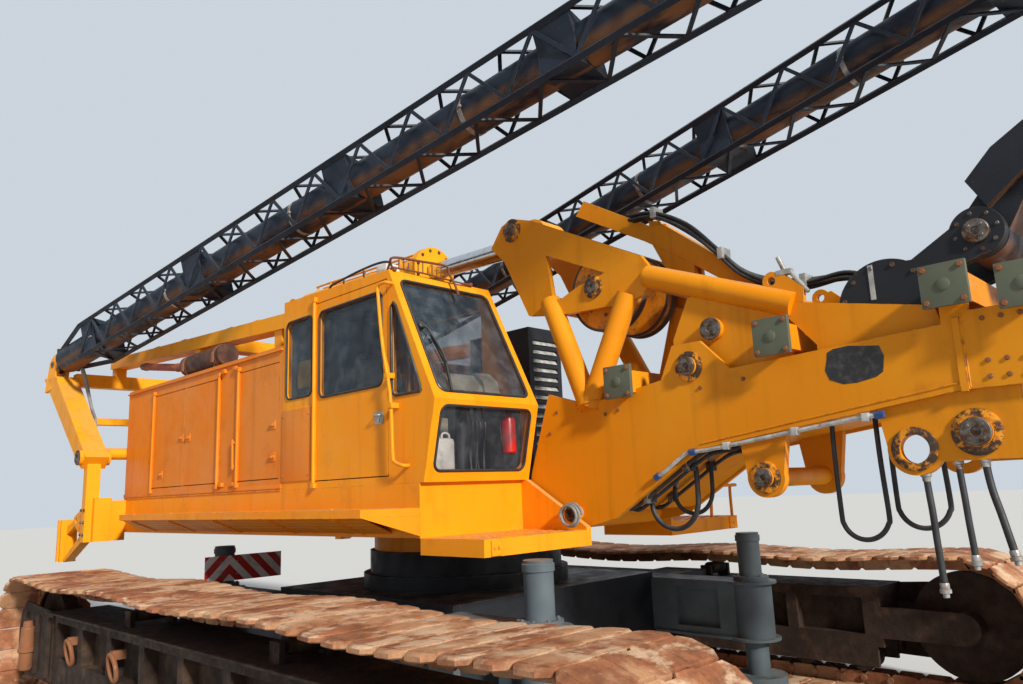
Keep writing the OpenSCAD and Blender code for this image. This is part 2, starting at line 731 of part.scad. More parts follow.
module rear_frame() {
  rail_y = 1300;
  rail_half = 95;
  rail_h = 145;
  rail_x0 = anchor_x + 150;
  rail_x1 = house_front - 97;
  rail_z0 = anchor_z - 32;
  rail_z1 = house_top + 237;
  // Cross members: [x, z, half height, half length]
  members = [[anchor_x + 230, anchor_z - 230, 85, anchor_y - 130],
    [anchor_x + 700, 2960, 40, anchor_y - 100]];
  // Posts under a rail: [x, foot]
  posts = [[anchor_x + 230, anchor_z - 200], [barrel_x, house_top], [-1150, house_top]];
  color(bright) {
    rear_side();
    left_hand() rear_side();
    for (m = members) block(m[0] - 80, m[0] + 80, -m[3], m[3], m[1] - m[2], m[1] + m[2]);
    cross_rod(deck_rear - 80, 2500, 70, -anchor_y + 100, anchor_y - 100);
    // Rails on the roof, their posts, and the cross beam that holds the cylinder
    for (s = [-1, 1]) {
      side_plate(s * rail_y - rail_half, s * rail_y + rail_half) polygon([[rail_x0, rail_z0],
        [rail_x1, rail_z1], [rail_x1, rail_z1 + rail_h], [rail_x0, rail_z0 + rail_h]]);
      for (p = posts) block(p[0] - 70, p[0] + 70, s * rail_y - 70, s * rail_y + 70, p[1],
        rail_z0 + (p[0] - rail_x0) * (rail_z1 - rail_z0) / (rail_x1 - rail_x0) + 20);
    }
    block(barrel_x - 120, barrel_x + 120, -rail_y, rail_y, house_top + 360, house_top + 500);
    for (s = [-1, 1]) side_plate(s * 150 - 30, s * 150 + 30) {
      translate([barrel_x, barrel_z]) circle(r = 130);
      polygon([[barrel_x - 240, house_top + 440], [barrel_x + 240, house_top + 440],
        [barrel_x + 130, barrel_z], [barrel_x - 130, barrel_z]]);
    }
    cross_rod(barrel_x, barrel_z, 55, -180, 180);
  }
}

// Side plate of the front frame
module frame_outline() {
  polygon([[1340, 1760], [hinge_x - 140, 1580], [hinge_x + 100, 1580], [2200, 1640],
    [2930, 2090], [4560, 2300], [4560, 2670], [3210, 2600], [3000, 2820], [2780, 2820],
    [2670, 2590], [2000, 2490], [1600, 2610], [1380, 2000]]);
}

// Upper plate that holds the cylinder's pin and the sheave
module apex_outline() {
  difference() {
    polygon([[900, 4020], [1040, 4190], [apex_x, 4230], [1400, 4150], [2500, 3570],
      [2620, 3400], [2500, 3260], [2300, 3230], [1700, 3260], [1330, 3320], [1060, 3860]]);
    polygon([[1550, 3800], [2160, 3510], [1880, 3460], [1690, 3390], [1610, 3410]]);
  }
}

// Transverse boxes on the frame: [x, z]
boxes = [[2370, 2610], [3570, 2745], [4570, 2860], [4930, 2795]];
box_half = 80;
end_plate_half = 115;

// Cross tube ahead of the sheave, which also carries the hose arm: [x, z, radius]
arm_tube = [sheave_x + sheave_r + 190, 3350, 55];

// Drum end of the leader's foot: [x, z, radius], and the boss round the leader's pivot
foot_drum = [pivot_x - 520, pivot_z - 320, 280];
foot_boss_r = 140;

module box_seat() {
  for (b = boxes) side_plate(-wide, wide) translate([b[0] - box_half, b[1] - box_half])
    square(2 * box_half);
}

module front_frame() {
  inner = frame_half - frame_t;
  color(bright) {
    difference() {
      for (s = [-1, 1]) side_plate(s > 0 ? inner : -frame_half, s > 0 ? frame_half : -inner)
        frame_outline();
      box_seat();
    }
    cross_rod(hinge_x, hinge_z, hinge_r, -girder_y - girder_t, girder_y + girder_t);
    cross_rod(hinge_x, hinge_z, 110, -inner - 5, inner + 5);
    // Bottom plate, top plate and front section
    side_plate(-inner - 5, inner + 5) polygon([[2250, 1690], [2930, 2110], [4540, 2320],
      [4540, 2350], [2920, 2140], [2230, 1715]]);
    difference() {
      side_plate(-inner - 5, inner + 5)
        polygon([[3250, 2570], [4540, 2640], [4540, 2610], [3250, 2540]]);
      box_seat();
    }
    block(4555, 4590, -frame_half - 10, frame_half + 10, 2290, 2690);
    difference() {
      block(4580, 5450, -frame_half, frame_half, 2300, 2720);
      block(4630, 5410, -inner, inner, 2330, 2690);
      box_seat();
    }
    // Upper plates, their cross tubes and the slanting struts
    difference() {
      for (s = [-1, 1]) side_plate(s > 0 ? apex_half - apex_t : -apex_half,
        s > 0 ? apex_half : -apex_half + apex_t) apex_outline();
    }
    cross_rod(apex_x, apex_z, apex_pin_r, -apex_half - 20, apex_half + 20);
    cross_rod(sheave_x, sheave_z, 50, -apex_half - 15, apex_half + 15);
    cross_rod(1500, 3400, 70, -apex_half + 10, apex_half - 10);
    cross_rod(arm_tube[0], arm_tube[1], arm_tube[2], -apex_half + 10, apex_half - 10);
    for (s = [-1, 1]) {
      y = s * (apex_half - apex_t / 2);
      z = s * (frame_half - frame_t / 2);
      bar([1560, y, 3400], [2000, z, 2470], strut_d);
      bar([2350, y, 3300], [2010, z, 2470], strut_d);
      bar([2540, y, 3400], [3640, y, 2962], strut_d);
      difference() {
        side_plate(y - 25, y + 25) polygon([[2720, 2560], [2735, 2880], [2875, 3160],
          [3000, 3180], [3720, 2960], [4450, 2800], [4500, 2600]]);
        side_plate(-wide, wide) polygon([[3600, 2560], [3600, 2880], [3765, 2680], [3765, 2560]]);
        box_seat();
      }
      // Pierced lug on the end of the long strut
      side_plate(y - 22, y + 22) difference() {
        union() {
          translate([3510, 3145]) circle(r = 62);
          polygon([[3445, 2990], [3448, 3145], [3590, 3180], [3715, 3060], [3705, 2930]]);
        }
        translate([3510, 3145]) circle(r = 28);
      }
      // Pad under the third transverse box
      block(boxes[2][0] - 70, boxes[2][0] + 70, z - 20, z + 20, 2660, boxes[2][1] - box_half);
      // Deep plates under the front section
      side_plate(s * 430 - 30, s * 430 + 30) translate([4400, 1930]) square([400, 400]);
    }
    block(4790, 4820, -460, 460, 1930, 2330);
    for (x = [2900, 4300]) cross_rod(x, 2600, 60, -inner - 5, inner + 5);
    // Bosses through the plates: [x, z, radius, half length]
    for (b = [[3060, 2900, 80, apex_half + 40], [2905, 2655, 65, frame_half + 30]])
      cross_rod(b[0], b[1], b[2], -b[3], b[3]);
    // Lugs under the frame: [x, z, radius of the hole, 1 where a pin fills it]
    for (g = [[3370, 1885, 60, 1], [4270, 2005, socket_r, 0], [4590, 2075, 80, 1]]) {
      difference() {
        for (s = [-1, 1]) side_plate(s * 430 - 30, s * 430 + 30) {
          translate([g[0], g[1]]) circle(r = g[2] + 65);
          polygon([[g[0] - 190, 2330], [g[0] - g[2] - 60, g[1]], [g[0] + g[2] + 60, g[1]],
            [g[0] + 190, 2330]]);
        }
        cross_rod(g[0], g[1], g[2], -wide, wide);
      }
      if (g[3] > 0) cross_rod(g[0], g[1], g[2], -490, 490);
    }
  }
}

module cross_boxes() {
  color(bright) for (b = boxes) translate([b[0], 0, b[1]]) {
    block(-box_half, box_half, -590, 590, -box_half, box_half);
    for (s = [-1, 1]) translate([0, s * 600, 0])
      block(-end_plate_half, end_plate_half, -12, 12, -end_plate_half, end_plate_half);
  }
}

module sheave() {
  color(brown) difference() {
    translate([sheave_x, 0, sheave_z]) rotate([90, 0, 0]) {
      for (s = [-1, 1]) translate([0, 0, s * sheave_y]) difference() {
        translate([0, 0, -sheave_w / 2]) cylinder(r = sheave_r, h = sheave_w, $fn = 96);
        rotate_extrude($fn = 96) translate([sheave_r + 20, 0]) circle(r = 50);
      }
      translate([0, 0, -sheave_y]) cylinder(r = 110, h = 2 * sheave_y);
    }
    cross_rod(sheave_x, sheave_z, 50 + fit, -wide, wide);
  }
}

module hose_arm() {
  color(bright) {
    side_plate(120, 280) polygon([[1580, 4400], [1480, 4285], [2200, 3862], [2516, 3650],
      [3110, 3210], [3200, 3290], [2380, 3964], [2250, 3985]]);
    foot_z = arm_tube[1] + arm_tube[2] + fit;
    for (s = [-1, 1]) side_plate(200 + s * 50 - 25, 200 + s * 50 + 25)
      polygon([[2260, 3835], [2250, 4030], [2345, 4000], [2640, 3560],
        [arm_tube[0] + 80, foot_z], [arm_tube[0] - 100, foot_z]]);
  }
}

// Cheek of the leader's foot: a drum at its lower end and a boss round the pivot
module foot_cheek() {
  difference() {
    union() {
      translate([foot_drum[0], foot_drum[1]]) circle(r = foot_drum[2]);
      translate([pivot_x, pivot_z]) circle(r = foot_boss_r);
      polygon([[foot_drum[0] - 80, foot_drum[1] + 250], [foot_drum[0] + 170, foot_drum[1] + 240],
        [pivot_x - 110, pivot_z + 60], [pivot_x, pivot_z + foot_boss_r],
        [pivot_x + 90, pivot_z - 105], [pivot_x, pivot_z - foot_boss_r],
        [foot_drum[0] + 280, foot_drum[1] + 105]]);
    }
    translate([foot_drum[0] - 500, foot_drum[1] - 675]) square([1000, 500]);
  }
}

module leader_foot() {
  color(black) {
    cross_rod(foot_drum[0], foot_drum[1], foot_drum[2] - 80, -300, 300);
    cross_rod(foot_drum[0], foot_drum[1] - 120, 80, -apex_half + apex_t + fit,
      apex_half - apex_t - fit);
    for (s = [-1, 1]) side_plate(s * 300 - 40, s * 300 + 40) foot_cheek();
    cross_rod(pivot_x, pivot_z, 70, -350, 350);
  }
}

// Stands on the leader: X along it from the pivot, Z to its back
module on_leader() {
  translate([pivot_x, 0, pivot_z]) rotate([0, -leader_angle, 0]) children();
}

module leader() {
  inner = leader_half - leader_t;
  hollow = leader_deep - leader_t;
  lower = 1000;
  flange = 30;
  color(black) on_leader() {
    difference() {
      union() {
        // Foot section, cut away under its lower end
        side_plate(-leader_foot_half, leader_foot_half)
          polygon([[124, 86], [402, 127], [lower, -leader_deep], [foot_section_l, -leader_deep],
            [foot_section_l, leader_deep], [343, leader_deep], [134, 283]]);
        translate([foot_section_l, 0, -leader_deep + 40]) linear_extrude(2 * leader_deep - 80)
          polygon([[-5, -leader_foot_half], [400, -leader_half + 5], [400, leader_half - 5],
            [-5, leader_foot_half]]);
        block(foot_section_l - 10, leader_l, -leader_half, leader_half,
          -leader_deep, leader_deep);
      }
      block(lower + 40, leader_l - 30, -inner, inner, -hollow, hollow);
    }
    // Flanges where the sections are bolted together
    for (x = [foot_section_l + 6000 : 6000 : leader_l - 500]) difference() {
      block(x - 25, x + 25, -leader_half - flange, leader_half + flange,
        -leader_deep - flange, leader_deep + flange);
      block(x - 30, x + 30, -inner, inner, -hollow, hollow);
    }
    for (s = [-1, 1]) {
      bar([lower + 20, s * (leader_half - 50), -leader_deep - guide_r - 30],
        [leader_l - 20, s * (leader_half - 50), -leader_deep - guide_r - 30], 2 * guide_r);
      for (x = [lower + 125 : 1625 : leader_l - 300]) block(x, x + 40,
        s * (leader_half - 50) - 20, s * (leader_half - 50) + 20,
        -leader_deep - guide_r, -leader_deep + 5);
      // Pads beside the stays' eyes
      translate([lug_u, 0, -lug_front]) cross_rod(0, 0, 120, s > 0 ? leader_half - 5 :
        -leader_half - 30, s > 0 ? leader_half + 30 : -leader_half + 5);
    }
    // Hinge between the cheeks of the foot
    difference() {
      side_plate(-240, 240) {
        circle(r = foot_boss_r);
        polygon([[0, -foot_boss_r], [430, 100], [430, 300], [-40, foot_boss_r - 6]]);
      }
      cross_rod(0, 0, 70 + fit, -wide, wide);
    }
  }
}

module leader_head() {
  head_half = leader_half - 20;
  color(black) on_leader() {
    for (s = [-1, 1]) side_plate(s * head_half - 20, s * head_half + 20)
      polygon([[leader_l, -leader_deep], [leader_l + 600, -leader_deep - 350],
        [leader_l + 900, -leader_deep - 350], [leader_l + 900, leader_deep + 300],
        [leader_l + 600, leader_deep + 300], [leader_l, leader_deep]]);
    for (z = [-leader_deep - 150, leader_deep + 100]) {
      cross_rod(leader_l + 700, z, 260, -60, 60);
      cross_rod(leader_l + 700, z, 50, -head_half - 20, head_half + 20);
    }
  }
}

module top_cylinder_place() {
  translate([barrel_x, 0, barrel_z]) rotate([0, -barrel_angle, 0]) children();
}

module top_cylinder_barrel() {
  color(yellow) top_cylinder_place() difference() {
    union() {
      bar([180, 0, 0], [barrel_l, 0, 0], 2 * barrel_r);
      bar([barrel_l - 40, 0, 0], [barrel_l + 60, 0, 0], 2 * barrel_r + 150);
      side_plate(-110, 110) {
        circle(r = 130);
        translate([0, -110]) square([200, 220]);
      }
    }
    bar([700, 0, 0], [barrel_l + 100, 0, 0], 2 * rod_r + 2);
    cross_rod(0, 0, 55 + fit, -wide, wide);
  }
}

module top_cylinder_rod() {
  color("silver") top_cylinder_place() difference() {
    union() {
      bar([1250, 0, 0], [barrel_reach - 100, 0, 0], 2 * rod_r);
      side_plate(-140, 140) {
        translate([barrel_reach, 0]) circle(r = 160);
        translate([barrel_reach - 260, -130]) square([200, 260]);
      }
    }
    cross_rod(barrel_reach, 0, apex_pin_r + 12, -wide, wide);
  }
}

// Zigzag between two stiffening bars, h from the middle: out along one edge, back along the other
function lacing_line(n, h, half) = concat(
  [for (k = [0 : n]) [taper_x + k * lace_pitch / 2, (k % 2 == 0 ? h : -h) + half]],
  [for (k = [n : -1 : 0]) [taper_x + k * lace_pitch / 2, (k % 2 == 0 ? h : -h) - half]]);

// Star with its four points on the stiffening bars and its hollows on the tube
function star_line() = [for (k = [0 : 7])
  (k % 2 == 1 ? truss_r : stay_r + 6) * [cos(45 * k), sin(45 * k)]];

module truss() {
  side = truss_r / sqrt(2);
  half = truss_t / 2;
  lace_t = 16;
  for (a = [45 : 90 : 315]) rotate([a, 0, 0]) side_plate(-half, half)
    polygon([[250, taper_r - half], [taper_x, truss_r - half], [stay_tube_l, truss_r - half],
      [stay_tube_l, truss_r + half], [taper_x, truss_r + half], [250, taper_r + half]]);
  for (a = [0 : 90 : 270]) rotate([a, 0, 0])
    side_plate(side - lace_t / 2, side + lace_t / 2)
      polygon(lacing_line(floor(2 * (stay_tube_l - taper_x) / lace_pitch), side - 14, 24));
  for (k = [0 : star_n - 1])
    translate([taper_x + k * (stay_tube_l - taper_x - star_l) / (star_n - 1), 0, 0])
      rotate([0, 90, 0]) linear_extrude(star_l) polygon(star_line());
  rotate([0, 90, 0]) translate([-taper_r, -taper_r, 250])
    cube([2 * taper_r, 2 * taper_r, 30]);
}

module stay_tube() {
  color(black) on_stay() difference() {
    union() {
      bar([280, 0, 0], [stay_tube_l, 0, 0], 2 * stay_r);
      side_plate(-40, 40) {
        circle(r = 110);
        translate([0, -90]) square([400, 180]);
      }
      rotate([-stay_roll, 0, 0]) truss();
    }
    bar([stay_tube_l - stay_bore_l, 0, 0], [stay_tube_l + 10, 0, 0], 2 * stay_rod_r + 2);
    cross_rod(0, 0, stay_pin_r + fit, -wide, wide);
  }
}

module stay_rod() {
  color(black) on_stay() {
    bar([stay_tube_l - rod_hold, 0, 0], [stay_l - eye_plate_l + 60, 0, 0], 2 * stay_rod_r);
    // Flat eye beside the leader, in the upright plane of the stay
    rotate([-stay_roll, 0, 0]) {
      side_plate(-30, 30) {
        translate([stay_l, 0]) circle(r = 130);
        translate([stay_l - eye_plate_l, -90]) square([eye_plate_l, 180]);
      }
      cross_rod(stay_l, 0, 75, -52, 30);
    }
  }
}

carbody();
slew_ring();
jack(1, -1);  // jack_front_right
jack(1, 1);  // jack_front_left
jack(-1, -1);  // jack_rear_right
jack(-1, 1);  // jack_rear_left
track_frame(-1);  // track_frame_right
track_frame(1);  // track_frame_left
track(-1);  // track_right
track(1);  // track_left
rollers(-1);  // rollers_right
rollers(1);  // rollers_left
deck();
front_step();  // front_step_right
left_hand() front_step();  // front_step_left
catwalk();  // catwalk_right
left_hand() catwalk();  // catwalk_left
house_walls();
house_roof();
engine();
exhaust();
cooler();
cab_shell();
cab_glass();
cab_seat();
cab_door();
cab_door_glass();
house_door(right_doors[0]);  // house_door_right_rear
house_door(right_doors[1]);  // house_door_right_middle
house_door(right_doors[2]);  // house_door_right_front
left_hand() house_door(left_doors[0]);  // house_door_left_rear
left_hand() house_door(left_doors[1]);  // house_door_left_front
rear_frame();
front_frame();
cross_boxes();
sheave();
hose_arm();
leader_foot();
top_cylinder_barrel();
top_cylinder_rod();
leader();
leader_head();
stay_tube();  // stay_tube_right
left_hand() stay_tube();  // stay_tube_left
stay_rod();  // stay_rod_right
left_hand() stay_rod();  // stay_rod_left
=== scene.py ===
"""Looks of a crawler pile driver rig: finishes, track shoes, seals, rails, hoses and small fittings."""
import math

import bmesh
import bpy
from mathutils import Matrix, Vector


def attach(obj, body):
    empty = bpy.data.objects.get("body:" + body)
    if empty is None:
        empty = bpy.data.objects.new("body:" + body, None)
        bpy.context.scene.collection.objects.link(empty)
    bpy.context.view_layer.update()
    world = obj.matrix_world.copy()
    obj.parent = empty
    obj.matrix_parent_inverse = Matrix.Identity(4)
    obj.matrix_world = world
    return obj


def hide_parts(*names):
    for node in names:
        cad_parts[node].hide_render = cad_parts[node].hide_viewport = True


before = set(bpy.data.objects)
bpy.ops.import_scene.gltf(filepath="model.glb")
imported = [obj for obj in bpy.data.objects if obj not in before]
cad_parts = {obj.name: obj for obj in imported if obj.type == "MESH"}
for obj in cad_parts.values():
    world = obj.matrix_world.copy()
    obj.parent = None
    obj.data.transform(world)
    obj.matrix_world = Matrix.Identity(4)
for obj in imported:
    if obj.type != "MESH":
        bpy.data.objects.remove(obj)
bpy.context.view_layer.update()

# Camera: the photograph's standpoint, ahead of the cab and out on the machine's right, looking back at the
# cab. It is held low, tipped up and slightly rolled.
camera_data = bpy.data.cameras.new("camera")
camera_data.sensor_width = 36.0
camera_data.lens = 27.55
camera_data.clip_start = 0.05
camera_data.clip_end = 400.0
camera = bpy.data.objects.new("camera", camera_data)
bpy.context.scene.collection.objects.link(camera)
camera.matrix_world = (
    Matrix.Translation((5.773, -5.139, 1.862))
    @ Matrix.Rotation(math.radians(44.534), 4, "Z")
    @ Matrix.Rotation(math.radians(90 + 10.796), 4, "X")
    @ Matrix.Rotation(math.radians(-2.279), 4, "Z")
)
bpy.context.scene.camera = camera
bpy.context.scene.view_settings.view_transform = "Standard"


# Hanging hoses: black rubber hydraulic hose, 30 to 38 mm thick, screwed into steel collars under the
# front frame. Three hang free to a crimped steel end fitting, and four are loops back into the frame.
class Finish:
    """A finish being mixed; every pattern is in metres in the machine's own frame."""

    def __init__(self, name):
        self.material = bpy.data.materials.new(name)
        self.material.use_nodes = True
        self.tree = self.material.node_tree
        self.bsdf = self.tree.nodes["Principled BSDF"]
        self.place = self.tree.nodes.new("ShaderNodeTexCoord").outputs["Object"]

    def node(self, kind, **values):
        """A shader node with its settings."""
        made = self.tree.nodes.new(kind)
        for key, value in values.items():
            setattr(made, key, value)
        return made

    def link(self, source, target):
        """Joins a node's output to another node's input."""
        self.tree.links.new(source, target)

    def fill(self, sockets, values):
        """Sets each socket to a colour or a number, or links it to another node's output."""
        for socket, value in zip(sockets, values):
            if isinstance(value, tuple):
                socket.default_value = (*value, 1)
            elif isinstance(value, (int, float)):
                socket.default_value = value
            else:
                self.link(value, socket)

    def stretched(self, scale):
        """The place on the machine, scaled so that a pattern is drawn out where the scale is small."""
        mapping = self.node("ShaderNodeMapping")
        mapping.inputs["Scale"].default_value = scale
        self.link(self.place, mapping.inputs["Vector"])
        return mapping.outputs["Vector"]

    def noise(self, scale, detail, rough=0.6, stretch=None):
        """A cloudy pattern from 0 to 1, with about as many patches to the metre as its scale."""
        made = self.node("ShaderNodeTexNoise")
        made.inputs["Scale"].default_value = scale
        made.inputs["Detail"].default_value = detail
        made.inputs["Roughness"].default_value = rough
        self.link(self.stretched(stretch) if stretch else self.place, made.inputs["Vector"])
        return made.outputs["Fac"]

    def ramp(self, source, low, high, bottom=0.0, top=1.0):
        """A soft step from bottom to top, while the source goes from low to high."""
        made = self.node("ShaderNodeMapRange", clamp=True, interpolation_type="SMOOTHSTEP")
        self.fill([made.inputs[n] for n in ("From Min", "From Max", "To Min", "To Max")],
                  (low, high, bottom, top))
        self.link(source, made.inputs["Value"])
        return made.outputs["Result"]

    def maths(self, operation, *values):
        """A sum, product or other reckoning of numbers and patterns."""
        made = self.node("ShaderNodeMath", operation=operation)
        self.fill(made.inputs, values)
        return made.outputs["Value"]

    def mix(self, amount, first, second):
        """The first colour, going over to the second by the amount."""
        made = self.node("ShaderNodeMix", data_type="RGBA")
        self.fill([made.inputs[0], made.inputs[6], made.inputs[7]], (amount, first, second))
        return made.outputs[2]

    def part_of(self, source, axis):
        """One of a vector's three numbers."""
        split = self.node("ShaderNodeSeparateXYZ")
        self.link(source, split.inputs["Vector"])
        return split.outputs[axis]

    def upward(self):
        """How far the face looks up: 1 on top, -1 underneath."""
        return self.part_of(self.node("ShaderNodeNewGeometry").outputs["Normal"], "Z")

    def worn_edges(self):
        """1 along the edges of the plates and 0 on their faces."""
        width, sharp = 0.006, 0.04
        eased = self.node("ShaderNodeBevel", samples=4)
        eased.inputs["Radius"].default_value = width
        turned = self.node("ShaderNodeVectorMath", operation="DOT_PRODUCT")
        self.link(eased.outputs["Normal"], turned.inputs[0])
        self.link(self.node("ShaderNodeNewGeometry").outputs["Normal"], turned.inputs[1])
        return self.ramp(self.maths("SUBTRACT", 1.0, turned.outputs["Value"]), sharp * 0.3, sharp)

    def bump(self, source, distance, strength):
        """Raises the surface by a pattern, at most by the distance in metres."""
        made = self.node("ShaderNodeBump")
        made.inputs["Distance"].default_value = distance
        made.inputs["Strength"].default_value = strength
        self.link(source, made.inputs["Height"])
        self.link(made.outputs["Normal"], self.bsdf.inputs["Normal"])

    def finish(self, colour, rough, metal=0.0, gloss=0.5):
        """The finished material."""
        self.fill([self.bsdf.inputs["Base Color"], self.bsdf.inputs["Roughness"]], (colour, rough))
        self.bsdf.inputs["Metallic"].default_value = metal
        self.bsdf.inputs["Specular IOR Level"].default_value = gloss
        return self.material


def rubber(name, tone, dust):
    """Black hose or seal rubber, grey with dust on its upper side."""
    f = Finish(name)
    base = f.mix(f.ramp(f.noise(9.0, 4), 0.3, 0.7), tone, tuple(1.7 * c + 0.004 for c in tone))
    settled = f.maths("MULTIPLY", f.ramp(f.upward(), 0.1, 0.9, 0.0, dust),
                      f.ramp(f.noise(14.0, 4), 0.3, 0.6))
    base = f.mix(settled, base, (0.16, 0.15, 0.13))
    f.bump(f.noise(90.0, 3), 0.0008, 0.4)
    return f.finish(base, f.ramp(f.noise(11.0, 3), 0.3, 0.7, 0.42, 0.68))


def plain_steel(name, tone, rust_amount, rust=(0.21, 0.085, 0.035)):
    """Bare or zinc-plated steel with rust blooming over it."""
    f = Finish(name)
    base = f.mix(f.ramp(f.noise(16.0, 5), 0.35, 0.65), tone, tuple(0.6 * c for c in tone))
    bloom = f.ramp(f.noise(13.0, 6, 0.7), 0.62 - 0.4 * rust_amount, 0.80 - 0.4 * rust_amount)
    base = f.mix(bloom, base, rust)
    f.bump(f.noise(55.0, 5, 0.65), 0.0016, 0.5)
    return f.finish(base, f.ramp(bloom, 0.0, 1.0, 0.38, 0.85), 0.35)


def through(points, steps=8):
    """A smooth line through the given points."""
    line = [Vector(p) for p in points]
    line = [2 * line[0] - line[1]] + line + [2 * line[-1] - line[-2]]
    path = []
    for a, b, c, d in zip(line, line[1:], line[2:], line[3:]):
        for k in range(steps):
            t = k / steps
            path.append(0.5 * (2 * b + (c - a) * t + (2 * a - 5 * b + 4 * c - d) * t * t
                               + (3 * b - a - 3 * c + d) * t ** 3))
    return path + [line[-2]]


def circle(centre, across, upright, radius, count, start=0.0):
    """Points round a circle that lies in two directions square to each other, from a start in degrees."""
    turns = [math.radians(start) + 2 * math.pi * k / count for k in range(count)]
    return [centre + radius * (math.cos(t) * across + math.sin(t) * upright) for t in turns]


class Forming:
    """A piece being formed: every call adds one closed form to it."""

    def __init__(self):
        self.mesh = bmesh.new()

    def skin(self, rings, closed=False):
        """Joins rings of equally many points, and caps both ends or joins the last ring to the first."""
        laid = [[self.mesh.verts.new(p) for p in ring] for ring in rings]
        pairs = list(zip(laid, laid[1:])) + ([(laid[-1], laid[0])] if closed else [])
        for lower, upper in pairs:
            for k in range(len(lower)):
                n = (k + 1) % len(lower)
                self.mesh.faces.new((lower[k], lower[n], upper[n], upper[k]))
        if not closed:
            self.mesh.faces.new(reversed(laid[0]))
            self.mesh.faces.new(laid[-1])

    def plate(self, outline, near, far):
        """A plate cut to an outline of (x, z), its two faces at places across the machine."""
        self.skin([[Vector((x, y, z)) for x, z in outline] for y in (near, far)])

    def hose(self, path, radius, sides, closed=False):
        """A round tube along a path; its sides keep their turn along it."""
        path = [Vector(p) for p in path]
        count = len(path)
        across = None
        rings = []
        for k, p in enumerate(path):
            before = path[k - 1] if closed or k > 0 else p
            after = path[(k + 1) % count] if closed or k < count - 1 else p
            along = (after - before).normalized()
            if across is None:
                across = along.orthogonal().normalized()
            across = (across - along * across.dot(along)).normalized()
            rings.append(circle(p, across, along.cross(across), radius, sides))
        self.skin(rings, closed=closed)

    def rod(self, start, end, radius, sides, ease=0.0):
        """A straight round bar, its ends eased by a small chamfer."""
        start, end = Vector(start), Vector(end)
        along = (end - start).normalized()
        across = along.orthogonal().normalized()
        stations = [(start, radius), (end, radius)]
        if ease:
            stations = [(start, radius - ease), (start + along * ease, radius),
                        (end - along * ease, radius), (end, radius - ease)]
        self.skin([circle(p, across, along.cross(across), r, sides) for p, r in stations])

    def lathe(self, centre, axis, profile, sides):
        """A turned form: profile is (distance along the axis, radius) from one end to the other."""
        centre, axis = Vector(centre), Vector(axis).normalized()
        across = axis.orthogonal().normalized()
        self.skin([circle(centre + axis * along, across, axis.cross(across), r, sides) for along, r in profile])

    def block(self, corner, opposite, ease):
        """A rectangular bar between two opposite corners, its edges eased."""
        part = bmesh.new()
        bmesh.ops.create_cube(part, size=1.0)
        middle = (Vector(corner) + Vector(opposite)) / 2
        size = [abs(a - b) for a, b in zip(corner, opposite)]
        for v in part.verts:
            v.co = middle + Vector([share * length for share, length in zip(v.co, size)])
        bmesh.ops.bevel(part, geom=part.edges[:], offset=ease, segments=2, profile=0.7, affect="EDGES")
        self.take(part)

    def take(self, part, place=None):
        """Adds another mesh to this piece."""
        if place is not None:
            bmesh.ops.transform(part, matrix=place, verts=part.verts)
        known = {v: self.mesh.verts.new(v.co) for v in part.verts}
        for face in part.faces:
            self.mesh.faces.new([known[v] for v in face.verts])
        part.free()

    def bolt(self, centre, axis, size):
        """A hexagon bolt head on a round washer."""
        centre, axis = Vector(centre), Vector(axis).normalized()
        self.lathe(centre, axis, [(-0.002, size * 1.15), (size * 0.16, size * 1.15)], 14)
        across = axis.orthogonal().normalized()
        base, top = size * 0.16, size * 0.75
        self.skin([circle(centre + axis * h, across, axis.cross(across), r, 6)
                   for h, r in ((base, size), (top * 0.86, size), (top, size * 0.86))])

    def ring(self, centre, along, across, upright, profile):
        """A turned ring with an open bore: profile goes round its section, as (distance along, radius)."""
        self.skin([circle(centre + along * s, across, upright, r, 40) for s, r in profile], closed=True)

    def bolts(self, places, axis, size):
        """Bolts of one size at several places."""
        for place in places:
            self.bolt(place, axis, size)

    def done(self, name, finish, body, slot, smooth=35.0):
        """Closes the piece, gives it its finish and lets it ride on a body."""
        bmesh.ops.recalc_face_normals(self.mesh, faces=self.mesh.faces)
        mesh = bpy.data.meshes.new(name)
        self.mesh.to_mesh(mesh)
        self.mesh.free()
        mesh.shade_smooth()
        mesh.set_sharp_from_angle(angle=math.radians(smooth))
        mesh.materials.append(finish)
        piece = bpy.data.objects.new(name, mesh)
        bpy.context.scene.collection.objects.link(piece)
        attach(piece, body)
        return piece


hose_rubber = rubber("hose_rubber", (0.012, 0.012, 0.014), 0.5)
hose_steel = plain_steel("fitting_steel", (0.42, 0.42, 0.41), 0.35)
free_hoses = {
    # name: (diameter, route from the frame's underside to the hose's end)
    "hanging_hose_rear": (0.036, [(4.30, -0.43, 1.870), (4.303, -0.431, 1.78), (4.31, -0.435, 1.66),
                                  (4.312, -0.434, 1.52), (4.315, -0.430, 1.38), (4.318, -0.428, 1.26)]),
    "hanging_hose_middle": (0.034, [(4.47, -0.43, 1.930), (4.472, -0.431, 1.85), (4.478, -0.436, 1.74),
                                    (4.482, -0.437, 1.61), (4.486, -0.433, 1.49), (4.488, -0.430, 1.41)]),
    "hanging_hose_front": (0.038, [(4.60, -0.43, 1.935), (4.603, -0.431, 1.86), (4.615, -0.435, 1.76),
                                   (4.638, -0.440, 1.65), (4.660, -0.444, 1.53), (4.676, -0.446, 1.44)]),
}
